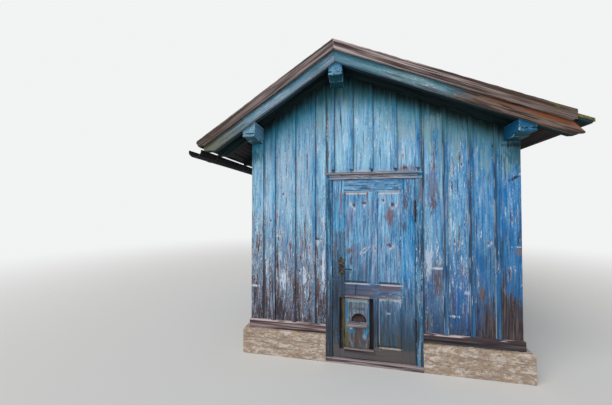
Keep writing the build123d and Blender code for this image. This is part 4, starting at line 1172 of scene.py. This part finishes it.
def saw_into_boards(node, axis, joints):
    """Cut one wall into its boards at the joints, with an open gap between them."""
    direction = (ALONG_X, ALONG_Y)[axis]
    gap = sizes().board_gap / 2
    low, high = extent(cad_copy(node))
    places = [low[axis]] + [j for j in joints if low[axis] < j < high[axis]] + [high[axis]]
    boards = []
    for near, far in zip(places, places[1:]):
        board = cad_copy(node)
        keep_between(board, direction, near + gap, far - gap)
        dirt_and_shade_edges(board, direction, near, far)
        boards.append(board)
    return boards


def dirt_and_shade_edges(board, direction, near, far):
    """Mark a board for dirt and painted shade beside its battens, fading over a finger's width."""
    layer = board.verts.layers.float["dirt_and_shade"]
    cover = sizes().batten_cover
    fade = sizes().dirt_and_shade_fade
    for place in (near + cover, near + cover + fade, far - cover - fade, far - cover):
        if far - near > 2 * (cover + fade):
            bmesh.ops.bisect_plane(
                board, geom=all_parts(board), dist=MERGE, plane_co=direction * place, plane_no=direction)
    for vert in board.verts:
        along = vert.co.dot(direction)
        if along - near < cover + MERGE:
            vert[layer] = 0.85
        elif far - along < cover + MERGE:
            vert[layer] = 0.25


def weather_board(mesh, direction, seed, wear, chalk):
    """Finish one board: its own grain, sawn edges that stray, and worn arrises."""
    wear_arrises(mesh, sizes().board_arris)
    cross_cuts(mesh, direction, sizes().cut_step)
    stray(mesh, sizes().board_wave, 0.25, seed)
    return set_board(mesh, seed, wear, chalk)


class HUT_OT_wall_boards(bpy.types.Operator):
    """Saw the walls into boards with open joints and give them their worn paint"""

    bl_idname = "hut.wall_boards"
    bl_label = "Wall boards"

    # Wear and chalk of the front boards from left to right
    front_wear = (0.0, 0.1, 0.2, 0.1, 0.4, -0.3, -0.2, -0.2, 0.0, 0.1, -0.2, 0.5, 0.0, -0.1, -0.3)
    front_chalk = (0.6, 0.9, 0.6, 0.6, 0.1, 0.4, 0.6, 0.9, 0.6, 0.4, 0.3, 1.4, 0.9, 0.3, -0.3)

    def execute(self, context):
        """Make one piece for each wall."""
        rng = random.Random(7)
        front_joints = joint_places(solids("battens_front"), 0)
        count = 0
        for node in ("front_wall_left", "front_wall_over_door", "front_wall_right"):
            boards = []
            for mesh in saw_into_boards(node, 0, front_joints):
                wear = self.front_wear[count % len(self.front_wear)]
                chalk = self.front_chalk[count % len(self.front_chalk)]
                boards.append(weather_board(mesh, ALONG_Z, rng.random() * 9, wear, chalk))
                count += 1
            add_piece("boards_" + node, boards, hut_material("painted_pine_front"), [node])
        side_joints = joint_places(solids("battens_sides"), 1)
        rear_joints = joint_places(solids("battens_rear"), 0)
        for node, axis, joints in (
            ("left_wall", 1, side_joints), ("right_wall", 1, side_joints), ("rear_wall", 0, rear_joints),
        ):
            boards = [
                weather_board(mesh, ALONG_Z, rng.random() * 9, rng.uniform(-0.1, 0.4), rng.random() * 0.6)
                for mesh in saw_into_boards(node, axis, joints)
            ]
            add_piece("boards_" + node, boards, hut_material("painted_pine_upright"), [node])
        return {"FINISHED"}


class HUT_OT_battens(bpy.types.Operator):
    """Give the cover battens and corner boards worn arrises and sawn edges that stray"""

    bl_idname = "hut.battens"
    bl_label = "Battens and corner boards"

    def nails(self, batten, node):
        """The heads of the nails up one batten, sunk into its outer face."""
        radius = sizes().nail_radius
        low, high = extent(batten)
        centre = (low + high) / 2
        outward = centre.y if node != "battens_sides" else centre.x
        axis = 1 if node != "battens_sides" else 0
        face = low[axis] if outward < 0 else high[axis]
        count = max(2, round((high.z - low.z - 0.2) / 0.55) + 1)
        heads = []
        for i in range(count):
            place = centre.copy()
            place[axis] = face + (0.0015 if outward < 0 else -0.0015)
            place.z = low.z + 0.1 + (high.z - low.z - 0.2) * i / (count - 1)
            head = bmesh.new()
            bmesh.ops.create_icosphere(head, subdivisions=1, radius=radius)
            for vert in head.verts:
                vert.co[axis] *= 0.35
            bmesh.ops.translate(head, verts=head.verts, vec=place)
            heads.append(head)
        return heads

    def execute(self, context):
        """Make one piece for each node."""
        rng = random.Random(11)
        for node in ("battens_front", "battens_sides", "battens_rear"):
            strips = []
            heads = []
            for mesh in solids(node):
                heads += self.nails(mesh, node)
                weather_board(mesh, ALONG_Z, rng.random() * 9, rng.uniform(-0.2, 0.3), rng.random() * 0.3)
                layer = mesh.verts.layers.float["dirt_and_shade"]
                centre = middle(mesh).x
                for vert in mesh.verts:
                    vert[layer] = 1.0 if 0.45 < vert.co.x < centre else 0.0
                strips.append(mesh)
            add_piece(node + "_worn", strips, hut_material("painted_pine_batten"), [node])
            add_piece(node + "_nails", heads, hut_material("rusted_iron"), (), "house")
        corners = [
            weather_board(mesh, ALONG_Z, rng.random() * 9, 0.3, -0.3) for mesh in solids("corner_boards")
        ]
        add_piece("corner_boards_worn", corners, hut_material("painted_pine_front"), ["corner_boards"])
        return {"FINISHED"}


def weather_beam(mesh, direction, seed, wear=0.0, chalk=0.0, wave=0.002):
    """Finish one beam or plank with a broader worn arris."""
    wear_arrises(mesh, sizes().beam_arris)
    cross_cuts(mesh, direction, sizes().cut_step)
    stray(mesh, wave, 0.3, seed)
    return set_board(mesh, seed, wear, chalk)


class HUT_OT_timber_frame(bpy.types.Operator):
    """Finish the plinth, sills, posts, rails and the three carved beams"""

    bl_idname = "hut.timber_frame"
    bl_label = "Plinth and timber frame"

    def execute(self, context):
        """Dress the nodes that carry the walls and the roof."""
        rng = random.Random(13)
        for node in ("wall_plate_left", "wall_plate_right", "ridge_beam"):
            meshes = [weather_beam(mesh, ALONG_Y, rng.random() * 9, wave=0.0015) for mesh in solids(node)]
            add_piece(node + "_worn", meshes, hut_material("painted_pine_inward"), [node])
        for node in ("sill_beams_ends", "sill_beams_sides"):
            direction = ALONG_X if node.endswith("ends") else ALONG_Y
            kind = "sill_pine" if node.endswith("ends") else "bare_pine_inward"
            meshes = [weather_beam(mesh, direction, rng.random() * 9) for mesh in solids(node)]
            add_piece(node + "_worn", meshes, hut_material(kind), [node])
        for node in ("plinth_ends", "plinth_sides"):
            direction = ALONG_X if node.endswith("ends") else ALONG_Y
            meshes = []
            for mesh in solids(node):
                wear_arrises(mesh, sizes().beam_arris)
                cross_cuts(mesh, direction, 0.06)
                cross_cuts(mesh, ALONG_Z, 0.06)
                low, high = extent(mesh)
                stray(mesh, 0.004, 0.12, rng.random() * 9)
                for vert in mesh.verts:
                    vert.co.z = max(vert.co.z, low.z)
                    for i in (0, 1):
                        vert.co[i] = min(max(vert.co[i], low[i]), high[i])
                meshes.append(set_board(mesh, 0.0))
            add_piece(node + "_cast", meshes, hut_material("rough_concrete"), [node])
        finish_node(hut_material("rough_concrete"), "floor_slab")
        finish_node(hut_material("bare_pine_level"), "threshold", "wall_rails")
        finish_node(hut_material("bare_pine"), "wall_posts")
        return {"FINISHED"}


class HUT_OT_roof(bpy.types.Operator):
    """Dress the rafters, roof boards, roofing felt and barge boards"""

    bl_idname = "hut.roof"
    bl_label = "Roof"

    def deck(self, side, slope, rng):
        """Saw the roof boards of one slope out of their layer."""
        node = "roof_boards_" + side
        whole = cad_copy(node)
        start = slope.foot.dot(slope.down)
        places = [vert.co.dot(slope.down) for vert in whole.verts]
        low = min(places)
        high = max(places)
        whole.free()
        count = round((high - start) / sizes().deck_board)
        boards = []
        for i in range(count):
            near = start + (high - start) * i / count if i else low
            far = start + (high - start) * (i + 1) / count
            board = keep_between(cad_copy(node), slope.down, near, far - sizes().board_gap)
            wear_arrises(board, sizes().board_arris)
            cross_cuts(board, ALONG_Y, 0.3)
            boards.append(set_board(board, rng.random() * 9))
        add_piece(node + "_sawn", boards, hut_material("soffit_pine"), [node])

    def felt(self, side, slope, rng):
        """Lay the felt in courses that lap over each other, with a wavy lower edge."""
        node = "roofing_" + side
        lap = 0.006
        sheet = cad_copy(node)
        cross_cuts(sheet, ALONG_Y, 0.11)
        lengths = [slope.measure(vert.co)[0] for vert in sheet.verts]
        high = max(lengths)
        edge = sizes().felt_course
        courses = []
        while edge < high - 0.1:
            courses.append(edge)
            edge += sizes().felt_course
        origin = slope.foot.dot(slope.down)
        for place in courses:
            for offset in (-0.012, 0.0):
                bmesh.ops.bisect_plane(
                    sheet, geom=all_parts(sheet), dist=MERGE,
                    plane_co=slope.down * (origin + place + offset), plane_no=slope.down)
        top = max(slope.measure(vert.co)[1] for vert in sheet.verts)
        for vert in sheet.verts:
            length, height = slope.measure(vert.co)
            if height < top - 0.014 or length < 0.05:
                continue
            past = [length - place for place in courses if length - place > -0.006]
            if past:
                vert.co -= slope.out * lap * max(0.0, 1 - past[-1] / sizes().felt_course)
            wave = noise.noise(vert.co * 3.0)
            vert.co -= slope.out * abs(wave) * 0.004
            if length < high - 0.02:
                vert.co += slope.down * noise.noise(vert.co * 5.0) * 0.008
        set_board(sheet, 0.0)
        add_piece(node + "_felt", [sheet], hut_material("gritted_felt"), [node])

    def execute(self, context):
        """Dress both slopes."""
        rng = random.Random(17)
        for side, slope in (("left", LEFT_SLOPE), ("right", RIGHT_SLOPE)):
            self.deck(side, slope, rng)
            self.felt(side, slope, rng)
            finish_node(hut_material(side + "_rafter"), "rafters_" + side)
            node = "barge_boards_" + side
            boards = [
                weather_beam(mesh, slope.down, rng.random() * 9, 0.2, 0.3) for mesh in solids(node)
            ]
            add_piece(node + "_worn", boards, hut_material("painted_pine_" + side + "_slope"), [node])
        return {"FINISHED"}


class HUT_OT_verge_planks(bpy.types.Operator):
    """Carve the deep grain, checks and splintered ends of the unpainted planks along the verges"""

    bl_idname = "hut.verge_planks"
    bl_label = "Verge planks"

    def weather(self, mesh, slope, seed):
        """Wash out the grain of one plank's face and wear its edges."""
        wear_arrises(mesh, sizes().beam_arris)
        cross_cuts(mesh, slope.down, 0.035)
        cross_cuts(mesh, slope.out, 0.006)
        low, high = extent(mesh)
        front = low.y if low.y < 0 else high.y
        inward = 1 if low.y < 0 else -1
        lengths = [slope.measure(vert.co)[0] for vert in mesh.verts]
        far = max(lengths)
        heights = [slope.measure(vert.co)[1] for vert in mesh.verts]
        bottom = min(heights)
        top = max(heights)
        for vert in mesh.verts:
            length, height = slope.measure(vert.co)
            wander = height + 0.010 * noise.noise(Vector((length * 1.3, seed, 3.0)))
            rib = noise.noise(Vector((length * 0.9, wander * 40, seed)))
            check = noise.noise(Vector((length * 0.8, wander * 30, seed + 4)))
            depth = 0.0022 * (rib + 1) + 0.009 * max(0.0, check - 0.22)
            if abs(vert.co.y - front) < 0.012:
                vert.co.y += inward * depth
            if length > far - 0.01:
                split = noise.noise(Vector((0.0, wander * 70, seed + 8)))
                vert.co -= slope.down * (0.030 + 0.045 * split)
            ragged = noise.noise(Vector((length * 9, seed, 1.0)))
            if height > top - 0.012:
                vert.co -= slope.out * abs(ragged) * 0.008
            if height < bottom + 0.008:
                vert.co += slope.out * (0.5 + ragged) * 0.004
        return set_board(mesh, seed)

    def execute(self, context):
        """Make one piece for each slope."""
        rng = random.Random(19)
        for side, slope in (("left", LEFT_SLOPE), ("right", RIGHT_SLOPE)):
            node = "verge_planks_" + side
            planks = [self.weather(mesh, slope, rng.random() * 9) for mesh in solids(node)]
            material = hut_material("weathered_" + side + "_slope")
            add_piece(node + "_carved", planks, material, [node], sharp=STEEP_TURN)
        return {"FINISHED"}


class HUT_OT_gutter(bpy.types.Operator):
    """Tar the wooden gutter and break up its front end"""

    bl_idname = "hut.gutter"
    bl_label = "Gutter"

    def execute(self, context):
        """Make the trough and finish its straps."""
        troughs = []
        for mesh in solids("gutter"):
            cross_cuts(mesh, ALONG_Y, 0.08)
            low, high = extent(mesh)
            for vert in mesh.verts:
                ragged = noise.noise(vert.co * 22)
                if vert.co.y < low.y + 0.01:
                    vert.co.y += 0.012 + 0.022 * ragged
                wave = noise.noise_vector(vert.co * 4) * 0.003
                vert.co.x = min(max(vert.co.x + wave.x, low.x), high.x)
                vert.co.z += min(wave.z, 0.0)
            troughs.append(set_board(mesh, 2.0))
        add_piece("gutter_tarred", troughs, hut_material("tarred_pine"), ["gutter"])
        finish_node(hut_material("rusted_iron"), "gutter_brackets")
        return {"FINISHED"}


class HUT_OT_door_frame(bpy.types.Operator):
    """Dress the door frame and the moulded ledge over it"""

    bl_idname = "hut.door_frame"
    bl_label = "Door frame"

    def execute(self, context):
        """Make the posts, the head and the cornice."""
        rng = random.Random(23)
        for node, direction, kind in (
            ("door_frame_posts", ALONG_Z, "painted_pine_damp_post"),
            ("door_frame_head", ALONG_X, "painted_pine_level"),
            ("door_cornice", ALONG_X, "painted_pine_moulding"),
        ):
            meshes = []
            for mesh in solids(node):
                wear_arrises(mesh, 0.002)
                cross_cuts(mesh, direction, sizes().cut_step)
                chalk = -1.5 if middle(mesh).x < -0.2 else 1.2
                meshes.append(set_board(mesh, rng.random() * 9, 0.2, chalk))
            add_piece(node + "_worn", meshes, hut_material(kind), [node])
        finish_node(hut_material("rusted_iron"), "hinge_pins")
        return {"FINISHED"}


class HUT_OT_door_leaf(bpy.types.Operator):
    """Dress the panelled leaf, its mended panel, the lock and the hinges"""

    bl_idname = "hut.door_leaf"
    bl_label = "Door leaf"

    def execute(self, context):
        """Make one piece for each kind of member."""
        rng = random.Random(29)
        for node, direction, kind in (
            ("door_stiles", ALONG_Z, "painted_pine_door"),
            ("door_muntins", ALONG_Z, "painted_pine_door"),
            ("door_panels", ALONG_Z, "painted_pine_panel"),
            ("door_rails", ALONG_X, "painted_pine_door_level"),
            ("door_patch_board", ALONG_Z, "painted_pine_patch"),
            ("door_patch_ledges", ALONG_X, "bare_pine_level"),
            ("door_patch_backing", ALONG_Z, "damp_backing"),
        ):
            meshes = []
            for mesh in solids(node):
                wear_arrises(mesh, 0.0018)
                meshes.append(set_board(mesh, rng.random() * 9, rng.uniform(0.0, 0.3), rng.random() * 0.5))
            add_piece(node + "_worn", meshes, hut_material(kind), [node], sharp=BEVEL_TURN)
        finish_node(hut_material("rusted_iron"), "hinge_knuckles")
        finish_node(hut_material("ochre_iron"), "lock_plates")
        finish_node(hut_material("dulled_iron"), "lever_handle")
        return {"FINISHED"}


class HUT_OT_moss(bpy.types.Operator):
    """Scatter moss cushions over the roofing and along its edges"""

    bl_idname = "hut.moss"
    bl_label = "Moss"

    def clump(self, place, radius, rng):
        """One flat cushion of moss."""
        mesh = bmesh.new()
        bmesh.ops.create_icosphere(mesh, subdivisions=2, radius=radius)
        for vert in mesh.verts:
            lump = noise.noise(vert.co * (2.2 / radius) + Vector((rng.random(), 0, 0)))
            vert.co *= 1 + 0.35 * lump
            vert.co.z *= 0.5
        bmesh.ops.translate(mesh, verts=mesh.verts, vec=place)
        return mesh

    def execute(self, context):
        """Make one piece of moss for each slope."""
        rng = random.Random(31)
        for side, slope in (("left", LEFT_SLOPE), ("right", RIGHT_SLOPE)):
            low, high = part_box("roofing_" + side)
            eave_x = low.x if slope.side < 0 else high.x
            top = max(slope.measure(vert.co)[1] for vert in cad_copy("roofing_" + side).verts)
            reach = abs(eave_x - slope.foot.x) - top * math.sin(slope.pitch) - 0.03
            length = reach / math.cos(slope.pitch)
            clumps = []
            for i in range(sizes().moss_clumps):
                down = rng.uniform(0.12, 1.0) ** 0.7 * length
                if i % 5 == 1:
                    down = rng.uniform(0.86, 1.0) * length
                across = rng.uniform(low.y + 0.03, high.y - 0.03)
                if i % 3 == 0 or i % 5 == 1:
                    across = low.y + 0.02 + abs(rng.gauss(0, 0.03))
                radius = rng.uniform(0.006, 0.02)
                place = slope.foot + slope.down * down + slope.out * (top - 0.003)
                place.y = across
                clumps.append(self.clump(place, radius, rng))
            add_piece("moss_" + side, clumps, hut_material("moss_cushion"), (), "house")
        return {"FINISHED"}


class HUT_OT_stage(bpy.types.Operator):
    """Set up the floor, the soft light, the pale surroundings and the camera"""

    bl_idname = "hut.stage"
    bl_label = "Stage"

    def floor(self):
        """A plain pale floor that isn't part of the hut."""
        mesh = bmesh.new()
        bmesh.ops.create_grid(mesh, x_segments=1, y_segments=1, size=40)
        data = bpy.data.meshes.new("floor")
        mesh.to_mesh(data)
        mesh.free()
        material, tree, shader = new_material("pale_floor")
        shader.inputs["Base Color"].default_value = colour("DCDCDA")
        shader.inputs["Roughness"].default_value = 0.95
        shader.inputs["Specular IOR Level"].default_value = 0.1
        # Far off, the camera sees the floor as pale as the surroundings
        place = add_node(tree, "TexCoord").outputs["Object"]
        away = add_node(tree, "VectorMath", {"operation": "LENGTH"}, {0: place}).outputs["Value"]
        path = add_node(tree, "LightPath")
        faded = product(tree, step(tree, away, 3.5, 13.0), path.outputs["Is Camera Ray"])
        glow = add_node(tree, "Emission", None, {0: colour("F2F3F3"), 1: 1.0})
        mix = add_node(tree, "MixShader", None, {0: faded, 1: shader.outputs[0], 2: glow.outputs[0]})
        tree.links.new(mix.outputs[0], tree.nodes["Material Output"].inputs["Surface"])
        data.materials.append(material)
        floor = bpy.data.objects.new("floor", data)
        bpy.context.scene.collection.objects.link(floor)

    def sky(self, strength):
        """Light from all round, with a paler picture of it for the camera and for reflections."""
        world = bpy.data.worlds.new("soft_sky")
        world.use_nodes = True
        tree = world.node_tree
        tree.nodes.clear()
        path = add_node(tree, "LightPath")
        seen = add_node(
            tree, "Math", MOST, {0: path.outputs["Is Camera Ray"], 1: path.outputs["Is Glossy Ray"]})
        seen = add_node(
            tree, "Math", MOST, {0: seen.outputs[0], 1: path.outputs["Is Transmission Ray"]})
        light = add_node(tree, "Background", None, {0: colour("FFFFFF"), 1: strength})
        shown = add_node(tree, "Background", None, {0: colour("F2F3F3"), 1: 1.0})
        mix = add_node(
            tree, "MixShader", None, {0: seen.outputs[0], 1: light.outputs[0], 2: shown.outputs[0]})
        add_node(tree, "OutputWorld", None, {0: mix.outputs[0]})
        bpy.context.scene.world = world

    def sun(self, strength, spread):
        """One broad soft light from the upper left of the front."""
        data = bpy.data.lights.new("main_light", "SUN")
        data.energy = strength
        data.angle = spread
        sun = bpy.data.objects.new("main_light", data)
        sun.rotation_euler = Vector((0.42, 0.68, -0.62)).to_track_quat("-Z", "Y").to_euler()
        bpy.context.scene.collection.objects.link(sun)

    def execute(self, context):
        """Make the stage."""
        stage = context.scene.hut_stage
        self.floor()
        self.sky(stage.sky_strength)
        self.sun(stage.sun_strength, stage.sun_spread)
        data = bpy.data.cameras.new("view")
        data.lens = stage.lens
        camera = bpy.data.objects.new("view", data)
        camera.location = stage.camera_place
        camera.rotation_euler = Euler((math.pi / 2 + stage.camera_tilt, 0, stage.camera_turn))
        context.scene.collection.objects.link(camera)
        context.scene.camera = camera
        context.scene.view_settings.view_transform = "Standard"
        return {"FINISHED"}


OPERATORS = (
    HUT_OT_wall_boards,
    HUT_OT_battens,
    HUT_OT_timber_frame,
    HUT_OT_roof,
    HUT_OT_verge_planks,
    HUT_OT_gutter,
    HUT_OT_door_frame,
    HUT_OT_door_leaf,
    HUT_OT_moss,
    HUT_OT_stage,
)


class HUT_PT_panel(bpy.types.Panel):
    """The hut's settings and steps"""

    bl_label = "Painted hut"
    bl_idname = "HUT_PT_panel"
    bl_space_type = "VIEW_3D"
    bl_region_type = "UI"
    bl_category = "Hut"

    def draw(self, context):
        """List the settings and the operators."""
        layout = self.layout
        for group in (context.scene.hut_sizes, context.scene.hut_colours, context.scene.hut_stage):
            column = layout.column(align=True)
            for name in group.__annotations__:
                column.prop(group, name)
        for operator in OPERATORS:
            layout.operator(operator.bl_idname)


GROUPS = (HutSizes, HutColours, StageSettings)
CLASSES = GROUPS + OPERATORS + (HUT_PT_panel,)


def register():
    """Register the classes and hang their settings on the scene."""
    for cls in CLASSES:
        bpy.utils.register_class(cls)
    bpy.types.Scene.hut_sizes = PointerProperty(type=HutSizes)
    bpy.types.Scene.hut_colours = PointerProperty(type=HutColours)
    bpy.types.Scene.hut_stage = PointerProperty(type=StageSettings)


def unregister():
    """Undo what register does."""
    del bpy.types.Scene.hut_stage
    del bpy.types.Scene.hut_colours
    del bpy.types.Scene.hut_sizes
    for cls in reversed(CLASSES):
        bpy.utils.unregister_class(cls)


def main():
    """Build the hut step by step."""
    register()
    for operator in OPERATORS:
        group, name = operator.bl_idname.split(".")
        getattr(getattr(bpy.ops, group), name)()


if __name__ == "__main__":
    main()
